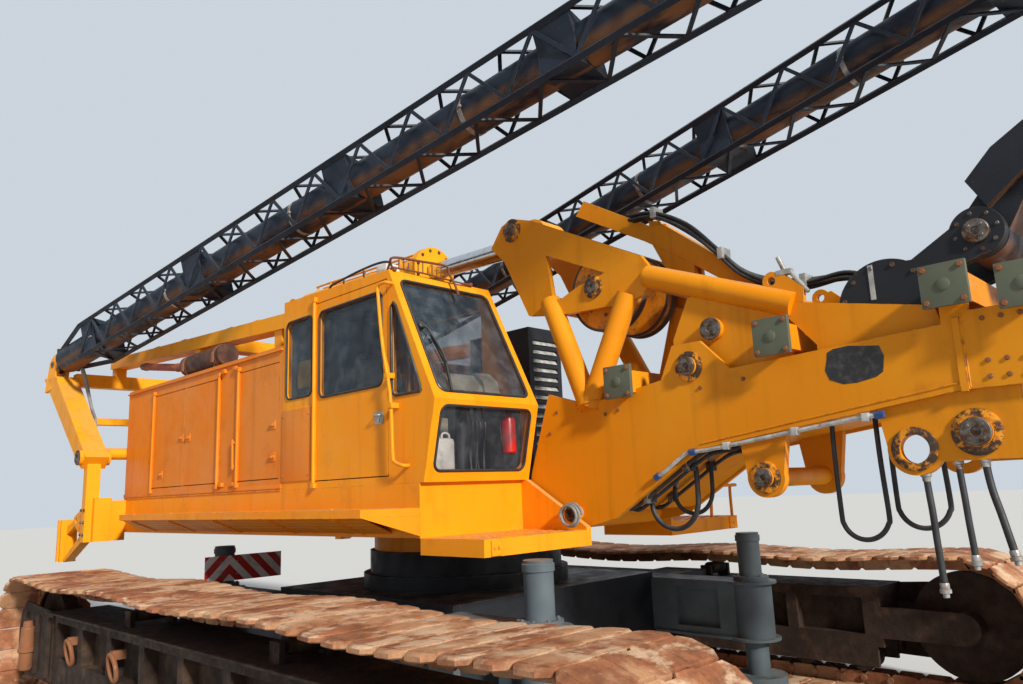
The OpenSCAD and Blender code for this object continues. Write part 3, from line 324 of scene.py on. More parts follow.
looped_hoses = {
    # name: (diameter, x of its two ends, y, height of its two ends, height of its lowest point)
    "hose_loop_rear": (0.030, (3.760, 4.020), -0.30, (2.218, 2.252), 1.500),
    "hose_loop_front": (0.030, (4.050, 4.320), -0.18, (2.257, 2.291), 1.560),
    "hose_loop_low": (0.036, (2.430, 2.790), -0.345, (1.802, 2.027), 1.560),
    "hose_loop_high": (0.030, (2.560, 2.850), -0.245, (1.882, 2.062), 1.660),
}


def hanging_loop(ends, y, tops, low):
    """A stiff hose's U: straight down, round through half a turn and up again, a little fuller below."""
    half, middle = (ends[1] - ends[0]) / 2, (ends[0] + ends[1]) / 2
    full, straight, sway = half * 1.06, 0.05, 0.012
    turn = [(middle - full * math.cos(t), low + full * (1 - math.sin(t)))
            for t in (math.radians(d) for d in range(0, 181, 20))]
    legs = [[(x, top), (x, top - straight), ((x + bent[0]) / 2, (top + bent[1]) / 2)]
            for x, top, bent in zip(ends, tops, (turn[0], turn[-1]))]
    return [(x, y + sway * math.sin(9 * (z - tops[0])), z) for x, z in legs[0] + turn + legs[1][::-1]]


for name, (thick, route) in free_hoses.items():
    path = through(route)
    hose = Forming()
    hose.hose(path, thick / 2, 12)
    piece = hose.done(name, hose_rubber, "front_frame", "black_paint")
    end, before = path[-1], path[-2]
    down = (end - before).normalized()
    nozzle = Forming()
    # Crimped sleeve, hexagon and bare thread, as (distance along, share of the hose's thickness)
    nozzle.lathe(end - down * 0.03, down,
                 [(along, thick * share) for along, share in (
                     (0, 0.58), (0.004, 0.64), (0.03, 0.64), (0.034, 0.8), (0.052, 0.8), (0.056, 0.45),
                     (0.075, 0.45), (0.077, 0.36))], 12)
    tip = nozzle.done(name + "_fitting", hose_steel, "front_frame", "worn_steel")
loop_ends = []
for name, (thick, ends, y, tops, low) in looped_hoses.items():
    route = hanging_loop(ends, y, tops, low)
    loop_ends += [(thick, route[0]), (thick, route[-1])]
    path = through(route, 5)
    hose = Forming()
    hose.hose(path, thick / 2, 12)
    piece = hose.done(name, hose_rubber, "front_frame", "black_paint")
# Turned collars where the hoses leave the frame
collars = Forming()
for thick, end in [(thick, route[0]) for thick, route in free_hoses.values()] + loop_ends:
    collars.lathe(Vector(end) + Vector((0, 0, 0.006)), (0, 0, -1),
                  [(along, thick * share) for along, share in (
                      (0, 0.80), (0.022, 0.80), (0.026, 0.62), (0.05, 0.58))], 12)
collars.done("hose_collars", hose_steel, "front_frame", "worn_steel")


# Studio: a plain pale floor and backdrop, even light from all round, and one large soft key light
# from ahead of the machine. Glass and metal mirror the backdrop, as the camera sees it.
def studio():
    """The floor, the light from all round and the key light."""
    reach = 90
    mesh = bpy.data.meshes.new("floor")
    mesh.from_pydata([(-reach, -reach, 0), (reach, -reach, 0), (reach, reach, 0), (-reach, reach, 0)],
                     [], [(0, 1, 2, 3)])
    floor = bpy.data.objects.new("floor", mesh)
    bpy.context.scene.collection.objects.link(floor)
    pale = Finish("floor_plain")
    mesh.materials.append(pale.finish((0.60, 0.60, 0.59), 0.9))
    world = bpy.data.worlds.new("studio")
    world.use_nodes = True
    nodes, links = world.node_tree.nodes, world.node_tree.links
    light = nodes["Background"]
    light.inputs["Color"].default_value = (0.80, 0.84, 0.90, 1)
    light.inputs["Strength"].default_value = 0.50
    backdrop = nodes.new("ShaderNodeBackground")
    backdrop.inputs["Color"].default_value = (0.60, 0.66, 0.72, 1)
    rays = nodes.new("ShaderNodeLightPath")
    seen = rays.outputs["Is Camera Ray"]
    for kind in ("Is Glossy Ray", "Is Transmission Ray"):
        either = nodes.new("ShaderNodeMath")
        either.operation = "MAXIMUM"
        links.new(seen, either.inputs[0])
        links.new(rays.outputs[kind], either.inputs[1])
        seen = either.outputs["Value"]
    choice = nodes.new("ShaderNodeMixShader")
    links.new(seen, choice.inputs["Fac"])
    links.new(light.outputs["Background"], choice.inputs[1])
    links.new(backdrop.outputs["Background"], choice.inputs[2])
    links.new(choice.outputs["Shader"], nodes["World Output"].inputs["Surface"])
    bpy.context.scene.world = world
    sun = bpy.data.lights.new("key", "SUN")
    sun.energy = 4.9
    sun.angle = math.radians(5)
    sun.color = (1.0, 0.96, 0.88)
    key = bpy.data.objects.new("key", sun)
    key.rotation_euler = Vector((-0.88, 0.23, -0.47)).to_track_quat("-Z", "Y").to_euler()
    bpy.context.scene.collection.objects.link(key)


studio()


# Track shoes: flat cast steel plates, stepped so that each keys into the next, with cut corners, hinge
# knuckles and pads worn pale between rust and dried sand. They are pinned to the chain inside them.
def ground_steel(name, steel, mud, cake, worn):
    """Undercarriage steel: worn pads, rusty scale and dried mud."""
    f = Finish(name)
    base = f.mix(f.ramp(f.noise(7.0, 6, 0.7), 0.35, 0.62), steel, tuple(0.55 * c for c in steel))
    base = f.mix(f.ramp(f.noise(2.3, 7, 0.66), *cake), base, mud)
    pale = f.maths("MULTIPLY", f.ramp(f.noise(5.5, 5, 0.62, (1.0, 0.55, 1.0)), 0.50, 0.60, 0.0, worn),
                   f.ramp(f.upward(), 0.2, 0.8))
    base = f.mix(pale, base, (0.60, 0.43, 0.29))
    fine = f.ramp(f.noise(70.0, 4, 0.7), 0.45, 0.75, 0.0, 0.5)
    base = f.mix(fine, base, tuple(0.5 * c for c in mud))
    f.bump(f.noise(24.0, 7, 0.7), 0.010, 0.6)
    return f.finish(base, f.ramp(f.noise(11.0, 4), 0.3, 0.7, 0.62, 0.92), gloss=0.25)


track_y, shoe_w, shoe_t, shoe_gap = 2.45, 0.91, 0.045, 0.016
track_r, wheel_x, track_sag, carrier_x = 0.606, 3.6, 0.040, 1.2
shoe_n = 80
pitch = (4 * wheel_x + 2 * math.pi * track_r) / shoe_n


def loop_at(s):
    """Place on the track's loop at a distance s from the front of its lower run, and the way outward."""
    run, arc = 2 * wheel_x, math.pi * track_r

    def on_wheel(centre, turn):
        """Where the loop bends round an end wheel."""
        a = math.radians(turn)
        return centre + track_r * math.cos(a), track_r + track_r * math.sin(a), turn

    if s < run:
        return wheel_x - s, 0.0, -90.0
    if s < run + arc:
        return on_wheel(-wheel_x, -90 - 180 * (s - run) / arc)
    if s >= 2 * run + arc:
        return on_wheel(wheel_x, 90 - 180 * (s - 2 * run - arc) / arc)
    # The upper run sags between the end wheels and the top rollers
    x = -wheel_x + s - run - arc
    held = (-wheel_x, -carrier_x, carrier_x, wheel_x)
    low, high = next((a, b) for a, b in zip(held, held[1:]) if x < b)
    u = (x - low) / (high - low)
    drop = track_sag * math.sin(math.pi * u) ** 2
    slope = math.pi * track_sag * math.sin(2 * math.pi * u) / (high - low)
    return x, 2 * track_r - drop, 90 - math.degrees(math.atan(slope))


def shoe():
    """One shoe lying flat: X along the travel, Y across, Z outward, its outer face at 0."""
    half, side, cut, key = (pitch - shoe_gap) / 2, shoe_w / 2, 0.050, 0.011
    steps = [(-side, -cut), (-side + cut, 0), (-0.175, 0), (-0.160, -key), (-0.055, -key), (-0.040, key),
             (0.040, key), (0.055, -key), (0.160, -key), (0.175, 0), (side - cut, 0), (side, -cut)]
    front = [(half + x, y) for y, x in steps]
    rear = [(-half + x if abs(y) < side - cut + 0.001 else -half + cut, y) for y, x in steps]
    outline = front + rear[::-1]
    part = Forming()
    part.skin([[Vector((x * a, y * b, z)) for x, y in outline]
               for a, b, z in ((0.94, 0.97, -shoe_t), (1.0, 1.0, -shoe_t + 0.008), (1.0, 1.0, -0.016),
                               (0.965, 0.975, -0.007), (0.95, 0.965, -0.005))])
    # Three worn pads
    for y0, y1 in ((-0.40, -0.20), (-0.14, 0.14), (0.20, 0.40)):
        part.skin([[Vector((x, y, z)) for x, y in ((-reach, y0 + b), (reach, y0 + b),
                                                   (reach, y1 - b), (-reach, y1 - b))]
                   for reach, b, z in ((half * 0.86 - 0.006, 0.0, -0.008), (half * 0.86 - 0.006, 0.0, -0.003),
                                       (half * 0.80 - 0.006, 0.006, -0.0015))])
    # Hinge knuckles in the gap to the next shoe, and the shoe's bolts
    joint = half + shoe_gap / 2
    for y in (-0.185, 0.165):
        part.rod((joint, y, -0.029), (joint, y + 0.022, -0.029), 0.022, 12)
    for y in (-0.30, 0.30):
        part.lathe((half * 0.35, y, -0.006), (0, 0, 1), [(0, 0.013), (0.004, 0.013)], 10)
    # Chain links and the pin that joins them to the next pair
    rear, fore = -half, half
    link = [(rear - 0.02, -0.075), (rear + 0.01, -0.042), (fore - 0.01, -0.042), (fore + 0.02, -0.075),
            (fore + 0.02, -0.115), (fore - 0.02, -0.150), (rear + 0.02, -0.150), (rear - 0.02, -0.115)]
    for y in (-0.105, 0.085):
        part.plate(link, y, y + 0.02)
    part.rod((joint, -0.125, -0.097), (joint, 0.125, -0.097), 0.026, 12)
    return part.mesh


def track(name, side, finish):
    """A whole track: the shoe laid round the loop over and over, in place of the plain loop."""
    pattern = shoe()
    whole = Forming()
    for k in range(shoe_n):
        x, z, outward = loop_at((k + 0.5) * pitch)
        a = math.radians(outward)
        # The matrix's columns: along the travel, across, outward, place
        place = Matrix(((math.sin(a), 0, math.cos(a), x), (0, side, 0, side * track_y),
                        (-math.cos(a), 0, math.sin(a), z), (0, 0, 0, 1)))
        whole.take(pattern.copy(), place)
    pattern.free()
    piece = whole.done(name, finish, "undercarriage", "worn_steel", 30.0)
    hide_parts("track_right" if side < 0 else "track_left")


shoe_steel = ground_steel("shoe_steel", (0.34, 0.125, 0.058), (0.44, 0.235, 0.125), (0.44, 0.58), 0.8)
track("track_shoes_right", -1, shoe_steel)
track("track_shoes_left", 1, shoe_steel)


# Track frames: welded dark brown boxes with ribbed pockets and their cast rollers. A ribbed cheek plate is
# bolted on the outside of each end, with a rusty tensioner and lifting rings welded on.
frame_steel = ground_steel("frame_brown", (0.040, 0.023, 0.016), (0.092, 0.052, 0.031), (0.50, 0.68), 0.0)
rusty_steel = plain_steel("rusty_steel", (0.30, 0.16, 0.10), 0.75, (0.27, 0.105, 0.045))


def give(finish, *names):
    """Gives a finish to carried-over nodes."""
    for name in names:
        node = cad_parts[name]
        if not node.data.materials:
            node.data.materials.append(finish)
        for kept in node.material_slots:
            kept.material = finish


# Two directions square to each other, in which rings on the machine's sides are laid out
level, upright = Vector((1, 0, 0)), Vector((0, 0, 1))
give(frame_steel, "track_frame_right", "track_frame_left", "rollers_right", "rollers_left")
for side, hand in ((-1, "right"), (1, "left")):
    y = side * (track_y + 0.25)
    face = y + side * 0.018
    cheek = Forming()
    outline = [(-0.72, -0.34), (0.10, -0.36), (0.28, -0.28), (0.38, -0.12), (0.40, 0.05), (0.34, 0.22),
               (0.18, 0.34), (-0.72, 0.29)]
    for end in (-1, 1):
        cheek.plate([(end * (wheel_x + u), track_r + w) for u, w in outline], y, face)
        for u in (-0.66, -0.30, 0.12):
            x = end * (wheel_x + u)
            cheek.block((x - 0.012, y, track_r - 0.30), (x + 0.012, y + side * 0.055, track_r + 0.24), 0.003)
        hub = Vector((end * wheel_x, face, track_r))
        cheek.bolts(circle(hub, level, upright, 0.17, 8, 22), (0, side, 0), 0.017)
        cheek.lathe((end * wheel_x, y, track_r), (0, side, 0),
                    [(0, 0.13), (0.030, 0.13), (0.036, 0.12), (0.036, 0.05)], 36)
    cheek.block((-2.95, y, 0.885), (2.95, y + side * 0.06, 0.902), 0.003)
    cheek.done("track_frame_cheeks_" + hand, frame_steel, "undercarriage", "brown_paint")
    # Tensioner at each end, and the lifting rings on their welded feet
    fittings = Forming()
    for end in (-1, 1):
        fittings.lathe((end * 3.47, y + 0.075 * side, 0.32), (0, 0, 1),
                       [(0, 0.050), (0.02, 0.062), (0.16, 0.062), (0.17, 0.078), (0.20, 0.078), (0.21, 0.066),
                        (0.40, 0.060), (0.41, 0.045), (0.46, 0.040)], 20)
        for x in (end * 1.21, end * 2.30):
            ring = [(x + 0.075 * math.cos(t), y + (0.035 + 0.02 * math.sin(t)) * side,
                     0.60 + 0.105 * math.sin(t)) for t in (2 * math.pi * k / 24 for k in range(24))]
            fittings.hose(ring, 0.019, 8, closed=True)
            fittings.block((x - 0.03, y - 0.06 * side, 0.66), (x + 0.03, y + 0.05 * side, 0.73), 0.006)
    fittings.done("track_frame_fittings_" + hand, rusty_steel, "undercarriage", "worn_steel")


# Carbody, slewing ring and jacks: black and blue-grey weldings. Each jack's tube is held between two
# flanged plates on the end of its arm, and a blank striped board hangs on the rear right arm.
def dark_paint(name, tone, rusty=0.0, dust=0.35, wear=0.5, core=None):
    """Dark paint, dusty on top and chipped; underneath it rusts brown, near a core line where one is given."""
    f = Finish(name)
    base = f.mix(f.ramp(f.noise(1.2, 4), 0.3, 0.7), tone, tuple(1.9 * c + 0.006 for c in tone))
    below = f.maths("MULTIPLY", f.ramp(f.upward(), -0.10, -0.70, 0.0, rusty),
                    f.ramp(f.noise(3.0, 6, 0.7, (0.35, 1.0, 1.0)), 0.36, 0.56))
    if core:
        # Distance from the line through core[0] along core[1]
        reach = f.node("ShaderNodeVectorMath", operation="SUBTRACT")
        f.link(f.place, reach.inputs[0])
        reach.inputs[1].default_value = core[0]
        around = f.node("ShaderNodeVectorMath", operation="CROSS_PRODUCT")
        f.link(reach.outputs["Vector"], around.inputs[0])
        around.inputs[1].default_value = core[1]
        far = f.node("ShaderNodeVectorMath", operation="LENGTH")
        f.link(around.outputs["Vector"], far.inputs[0])
        below = f.maths("MULTIPLY", below, f.ramp(far.outputs["Value"], 0.185, 0.172))
    base = f.mix(below, base, (0.19, 0.085, 0.036))
    settled = f.maths("MULTIPLY", f.ramp(f.upward(), 0.5, 0.95, 0.0, dust),
                      f.ramp(f.noise(5.0, 5), 0.35, 0.65))
    base = f.mix(settled, base, (0.20, 0.19, 0.17))
    spots = f.ramp(f.noise(30.0, 5, 0.7), 0.67, 0.71, 0.0, 0.7)
    base = f.mix(spots, base, (0.14, 0.065, 0.035))
    edges = f.maths("MULTIPLY", f.worn_edges(), f.ramp(f.noise(19.0, 4), 0.42, 0.6, 0.0, wear))
    base = f.mix(edges, base, (0.22, 0.17, 0.14))
    f.bump(f.noise(26.0, 5, 0.6), 0.002, 0.3)
    return f.finish(base, f.ramp(f.noise(7.0, 4), 0.3, 0.7, 0.40, 0.64), gloss=0.25)


black = dark_paint("black_paint", (0.0055, 0.0065, 0.009))
blue_grey = dark_paint("blue_grey_paint", (0.056, 0.070, 0.080), 0.2, 0.6)
give(black, "carbody", "slew_ring")
give(blue_grey, "jack_front_right", "jack_front_left", "jack_rear_right", "jack_rear_left")
jack_x, jack_y, jack_root = 2.206, 1.353, 0.93
for end, side, name in ((1, -1, "front_right"), (1, 1, "front_left"),
                        (-1, -1, "rear_right"), (-1, 1, "rear_left")):
    x, y = end * jack_x, side * jack_y
    flanges = Forming()
    rim = [(0.21 * math.cos(t), 0.21 * math.sin(t)) for t in (math.radians(d) for d in range(48, 313, 12))]
    outline = [(jack_root, 0.15)] + rim + [(jack_root, -0.15)]
    for bottom, top in ((0.532, 0.552), (0.998, 1.018)):
        flanges.skin([[Vector((end * (jack_x - u), y + v, z)) for u, v in outline] for z in (bottom, top)])
    flanges.bolts(circle(Vector((x, y, 1.061)), level, Vector((0, 1, 0)), 0.126, 8, 22.5), (0, 0, 1), 0.012)
    flanges.lathe((x, y, 1.352), (0, 0, 1), [(0, 0.099), (0.004, 0.106), (0.05, 0.106), (0.054, 0.099)], 32)
    flanges.done("jack_flanges_" + name, blue_grey, "undercarriage", "blue_grey_paint")


def striped_board():
    """Red and white bars under dirt, slanting away to both sides from the jack's middle line."""
    f = Finish("striped_board")
    y, z = f.part_of(f.place, "Y"), f.part_of(f.place, "Z")
    slant = f.maths("ADD", f.maths("ABSOLUTE", f.maths("ADD", y, jack_y)), z)
    bars = f.ramp(f.maths("FRACT", f.maths("MULTIPLY", slant, 5.2)), 0.49, 0.51)
    base = f.mix(bars, (0.52, 0.022, 0.020), (0.78, 0.77, 0.74))
    base = f.mix(f.ramp(f.noise(6.0, 6, 0.7), 0.48, 0.72, 0.0, 0.6), base, (0.22, 0.17, 0.13))
    return f.finish(base, f.ramp(f.noise(9.0, 3), 0.3, 0.7, 0.30, 0.5))


board = Forming()
board.block((-2.098, -1.610, 1.085), (-2.093, -0.780, 1.335), 0.002)
board.done("striped_board", striped_board(), "undercarriage", "grey_paint")
holders = Forming()
for y in (-1.44, -1.27):
    holders.block((-2.130, y - 0.02, 1.12), (-2.098, y + 0.02, 1.30), 0.002)
    holders.bolts([(-2.093, y, z) for z in (1.15, 1.27)], (1, 0, 0), 0.008)
holders.done("striped_board_holders", hose_steel, "undercarriage", "worn_steel")


# Deck, catwalks and steps: orange-yellow steel plate, faded in patches, streaked by rain and dusty on top.
# The catwalks' sloping skirts are pierced by rows of small holes, drawn as dots of painted bounce light.
def yellow_paint(name, fresh, faded, dust, chips=0.70, wear=0.7, lit_holes=False):
    """Yellow paint: faded patches, rain streaks, grime, chips down to rust, dust, worn edges, and perforations as
    painted light.
    """
    f = Finish(name)
    base = f.mix(f.ramp(f.noise(0.7, 4, 0.6), 0.36, 0.64), fresh, faded)
    streaks = f.ramp(f.noise(8.0, 4, 0.55, (1.0, 1.0, 0.06)), 0.52, 0.74, 0.0, 0.40)
    base = f.mix(streaks, base, tuple(0.62 * c for c in fresh))
    grime = f.ramp(f.noise(2.4, 7, 0.72), 0.52, 0.76, 0.0, 0.50)
    base = f.mix(grime, base, tuple(0.60 * c + 0.004 for c in fresh))
    spots = f.ramp(f.noise(34.0, 6, 0.74), chips, chips + 0.035)
    base = f.mix(spots, base, (0.13, 0.050, 0.018))
    settled = f.maths("MULTIPLY", f.ramp(f.upward(), 0.55, 0.95, 0.0, dust),
                      f.ramp(f.noise(4.0, 5), 0.30, 0.62))
    base = f.mix(settled, base, (0.36, 0.27, 0.17))
    edges = f.maths("MULTIPLY", f.worn_edges(), f.ramp(f.noise(14.0, 5, 0.65), 0.46, 0.58, 0.0, wear))
    base = f.mix(edges, base, (0.16, 0.070, 0.030))
    # The skirt's holes, drawn as bright orange dots on its downward faces: painted bounce light from the ground
    if lit_holes:
        x, z = f.part_of(f.place, "X"), f.part_of(f.place, "Z")
        across = f.maths("SUBTRACT", f.maths("FRACT", f.maths("MULTIPLY", x, 24.0)), 0.5)
        along = f.maths("SUBTRACT", f.maths("FRACT", f.maths("MULTIPLY", z, 40.0)), 0.5)
        reach = f.maths("ADD", f.maths("MULTIPLY", across, across), f.maths("MULTIPLY", along, along))
        lit_skirt_band = f.maths("MULTIPLY", f.ramp(z, 1.614, 1.616), f.ramp(z, 1.702, 1.700))
        lit_skirt_band = f.maths("MULTIPLY", lit_skirt_band, f.ramp(f.upward(), -0.35, -0.45))
        base = f.mix(f.maths("MULTIPLY", f.ramp(reach, 0.080, 0.050), lit_skirt_band), base, (0.95, 0.52, 0.10))
    f.bump(f.noise(3.0, 5, 0.55), 0.004, 0.35)
    return f.finish(base, f.ramp(f.noise(6.0, 4), 0.3, 0.7, 0.40, 0.62), gloss=0.22)


deck_yellow = yellow_paint("deck_yellow", (0.84, 0.270, 0.0030), (0.84, 0.300, 0.006), 0.6)
# The catwalks' paint: its skirt holes are drawn as bright dots of painted bounce light
pierced_and_lit = yellow_paint("catwalk_yellow_lit_holes", (0.84, 0.255, 0.0030), (0.84, 0.290, 0.006), 0.6, lit_holes=True)
give(deck_yellow, "deck", "front_step_right", "front_step_left")
give(pierced_and_lit, "catwalk_right", "catwalk_left")
for side, hand in ((-1, "right"), (1, "left")):
    seams = Forming()
    # Folded lip along the walk, the weld between skirt and house, and the step's stub bracket
    seams.hose([(-3.66, side * 1.893, 1.718), (1.00, side * 1.893, 1.718)], 0.007, 8)
    seams.hose([(-4.37, side * 1.612, 1.952), (-0.62, side * 1.612, 1.952)], 0.007, 8)
    seams.bolts([(x, side * 1.80, 1.775) for x in (-3.5, -2.5, -1.5, -0.5, 0.5)], (0, 0, 1), 0.010)
    seams.block((1.978, side * 1.46, 1.455), (1.992, side * 1.55, 1.555), 0.003)
    seams.bolts([(1.992, side * y, 1.505) for y in (1.485, 1.525)], (1, 0, 0), 0.010)
    seams.done("deck_seams_" + hand, deck_yellow, "upper", "yellow_paint")
# Raised tread bars on both steps, slanting one way and the other in turn
tread = Forming()
for side in (-1, 1):
    for k in range(11):
        for y in (0.62, 0.74, 0.86, 0.98, 1.10, 1.22, 1.34, 1.46):
            x = 1.40 + 0.052 * k
            slant = 0.012 if (k + round(y * 100) // 12) % 2 else -0.012
            tread.hose([(x - 0.013, side * y - slant, 1.5642), (x, side * y, 1.5662),
                        (x + 0.013, side * y + slant, 1.5642)], 0.003, 5)
tread.done("step_tread", deck_yellow, "upper", "yellow_paint")
rail = Forming()
rail.hose(through([(1.955, 1.57, 1.56), (1.955, 1.57, 1.80), (1.97, 1.57, 1.84), (2.01, 1.57, 1.84),
                   (1.975, 1.30, 1.84), (1.97, 1.22, 1.82), (1.955, 1.21, 1.56)]), 0.014, 10)
rail.done("left_step_handrail", deck_yellow, "upper", "yellow_paint")


# House: flat sheet walls, roof and doors of duller, pinkish faded orange, with a lock or two on each door and
# folded strips under the roof and along the foot of each side. Buffers and a stay stand between the right
# doors, and bolted plates close the openings of the roof.
house_yellow = yellow_paint("house_yellow", (0.74, 0.190, 0.0020), (0.70, 0.225, 0.026), 0.35, 0.69, 0.6)
give(house_yellow, "house_walls", "house_roof", "house_door_right_rear", "house_door_right_middle",
     "house_door_right_front", "house_door_left_rear", "house_door_left_front")
grey = dark_paint("engine_grey", (0.16, 0.17, 0.17), 0.3, 0.4)
give(grey, "engine")
zinc = plain_steel("zinc_steel", (0.46, 0.45, 0.42), 0.20)
house_face = 1.609
house_locks = {
    # body: (side, [(x, z) of its locks])
    "house_door_right_rear": (-1, [(-2.78, 2.57), (-3.30, 2.20)]),
    "house_door_right_middle": (-1, [(-2.60, 2.56)]),
    "house_door_right_front": (-1, [(-0.78, 2.54), (-0.78, 2.25)]),
    "house_door_left_rear": (1, [(-2.60, 2.55)]),
    "house_door_left_front": (1, [(-1.16, 2.55)]),
}
for body, (side, places) in house_locks.items():
    locks = Forming()
    for x, z in places:
        y = side * house_face
        locks.block((x - 0.055, y, z - 0.040), (x + 0.055, y + side * 0.006, z + 0.040), 0.003)
        locks.lathe((x + 0.03, y, z), (0, side, 0), [(0, 0.016), (0.012, 0.016), (0.014, 0.012)], 16)
        locks.block((x - 0.045, y, z - 0.012), (x + 0.020, y + side * 0.022, z + 0.012), 0.004)
    locks.done(body + "_locks", house_yellow, body, "yellow_paint")
for side, hand in ((-1, "right"), (1, "left")):
    y = side * house_face
    strips = Forming()
    strips.block((-4.38, y, 3.205), (-0.61, y + side * 0.022, 3.222), 0.003)
    strips.block((-4.38, y, 1.965), (-0.61, y + side * 0.012, 2.005), 0.003)
    # Stays and buffers between the doors, and the closed cover behind the cab
    if side < 0:
        strips.block((-0.600, y - 0.010, 2.02), (-0.12, y, 2.64), 0.004)
        for x, z in ((-1.77, 2.035), (-1.52, 2.035), (-1.76, 3.16), (-1.52, 3.16)):
            strips.block((x - 0.035, y - 0.03, z - 0.02), (x + 0.035, y, z + 0.02), 0.004)
        strips.rod((-1.515, y - 0.028, 2.46), (-1.500, y - 0.028, 2.17), 0.011, 12, 0.002)
        for z in (2.43, 2.20):
            strips.block((-1.530, y - 0.03, z - 0.015), (-1.486, y, z + 0.015), 0.003)
        strips.bolts([(x, y - 0.010, z) for x in (-0.57, -0.15) for z in (2.07, 2.59)], (0, -1, 0), 0.009)
    strips.done("house_strips_" + hand, house_yellow, "upper", "yellow_paint")
roof_plates = Forming()
for x0, x1 in ((-4.10, -3.15), (-2.85, -2.25), (-1.95, -0.80)):
    for y0, y1 in ((-1.15, -0.25), (0.25, 1.15)):
        roof_plates.block((x0, y0, 3.250), (x1, y1, 3.262), 0.003)
        roof_plates.bolts([(x, y, 3.262) for x in (x0 + 0.05, x1 - 0.05) for y in (y0 + 0.05, y1 - 0.05)],
                          (0, 0, 1), 0.011)
roof_plates.done("house_roof_plates", house_yellow, "upper", "yellow_paint")


# Exhaust: a silencer rolled from sheet, dark with scale, on two legs over the house roof, and a rusty red
# tail pipe let into its rear end. Bands are clamped round both.
def pipe_rust():
    """Scaled rust: dark on the silencer, redder on the tail pipe behind it."""
    f = Finish("exhaust_rust")
    tail = f.ramp(f.part_of(f.place, "X"), -2.86, -2.92)
    silencer = f.mix(f.ramp(f.noise(6.0, 6, 0.7), 0.40, 0.66), (0.036, 0.014, 0.010), (0.110, 0.040, 0.020))
    pipe = f.mix(f.ramp(f.noise(7.0, 6, 0.7), 0.38, 0.66), (0.30, 0.060, 0.032), (0.18, 0.060, 0.030))
    f.bump(f.noise(45.0, 6, 0.7), 0.003, 0.6)
    return f.finish(f.mix(tail, silencer, pipe), f.ramp(f.noise(9.0, 4), 0.3, 0.7, 0.55, 0.9))


give(pipe_rust(), "exhaust")
clamps = Forming()
exhaust_y = -1.5
pipe_rear, pipe_front = Vector((-4.27, exhaust_y, 3.570)), Vector((-2.88, exhaust_y, 3.365))
pipe_way = (pipe_front - pipe_rear).normalized()
for along in (0.10, 1.08):
    ring = pipe_rear + pipe_way * along
    clamps.lathe(ring, pipe_way, [(-0.018, 0.046), (-0.018, 0.050), (0.018, 0.050), (0.018, 0.046)], 28)
    clamps.rod(ring + Vector((0, -0.075, 0.0)), ring + Vector((0, 0.075, 0.0)), 0.007, 10, 0.001)
for x in (-2.80, -2.06):
    clamps.lathe((x, exhaust_y, 3.38), (1, 0, 0),
                 [(-0.03, 0.1155), (-0.03, 0.119), (0.03, 0.119), (0.03, 0.1155)], 40)
    for y in (exhaust_y - 0.12, exhaust_y + 0.12):
        clamps.block((x - 0.025, y - 0.008, 3.30), (x + 0.025, y + 0.008, 3.40), 0.003)
clamps.done("exhaust_clamps", rusty_steel, "upper", "worn_steel")


# Cooler: a black sheet steel housing that stands on the deck. Twelve bare alloy slats, pressed and slanted
# like a louvre, are fixed across its front.
give(black, "cooler")
slats = Forming()
slat = [(0.298, 0.026), (0.334, -0.022), (0.336, -0.018), (0.300, 0.030)]
for k in range(12):
    z = 2.331 + 0.095 * k
    slats.plate([(x, z + h) for x, h in slat], 0.703, 1.067)
slats.done("cooler_slats", plain_steel("slat_alloy", (0.62, 0.62, 0.60), 0.1), "upper", "worn_steel")


# Rear frame: bright yellow box sections welded into a portal behind the house, with turned pins, keeper
# plates and bolts at its joints. Grey hoses come down ahead of the right strut.
frame_yellow = yellow_paint("frame_yellow", (0.82, 0.300, 0.0025), (0.82, 0.330, 0.007), 0.4, 0.68, 0.8)
give(frame_yellow, "rear_frame")
greasy = plain_steel("pin_steel", (0.16, 0.145, 0.13), 0.55, (0.085, 0.040, 0.020))


def pin_cap(piece, x, z, radius, face, side, bolts=4):
    """A round pin's end: its collar, its face with a centre hole, and the bolts of its keeper."""
    piece.lathe((x, side * face, z), (0, side, 0),
                [(-0.004, radius * 0.97), (0.010, radius * 0.97), (0.014, radius * 0.90), (0.014, radius * 0.35),
                 (0.004, radius * 0.30)], 36)
    keeper = Vector((x, side * (face + 0.014), z))
    piece.bolts(circle(keeper, level, upright, radius * 0.62, bolts, 45), (0, side, 0),
                    min(0.012, radius * 0.14))


# Top line of the roof rails: x and z of its rear end, then of its front end
rail_rear, rail_fore = (-5.78, 3.893), (-0.70, 3.632)
for side, hand in ((-1, "right"), (1, "left")):
    caps = Forming()
    pin_cap(caps, -4.39, 2.45, 0.09, 2.150, side)
    pin_cap(caps, -5.93, 3.78, 0.045, 2.078, side, 3)
    caps.bolts([(x, side * 2.062, z) for x in (-4.44, -4.34) for z in (1.56, 1.70, 1.84)], (0, side, 0), 0.016)
    caps.done("rear_frame_pins_" + hand, greasy, "upper", "worn_steel")
    joints = Forming()
    for x in (-5.2, -4.2, -3.4, -2.2, -1.6, -0.9):
        top = rail_rear[1] + (x - rail_rear[0]) * (rail_fore[1] - rail_rear[1]) / (rail_fore[0] - rail_rear[0])
        joints.block((x - 0.06, side * 1.215, top), (x + 0.06, side * 1.385, top + 0.010), 0.003)
        joints.bolts([(x + dx, side * y, top + 0.010) for dx in (-0.035, 0.035) for y in (1.24, 1.36)],
                     (0, 0, 1), 0.010)
    joints.done("roof_rail_joints_" + hand, frame_yellow, "upper", "yellow_paint")
grey_hose = rubber("grey_hose", (0.16, 0.16, 0.155), 0.4)
drops = Forming()
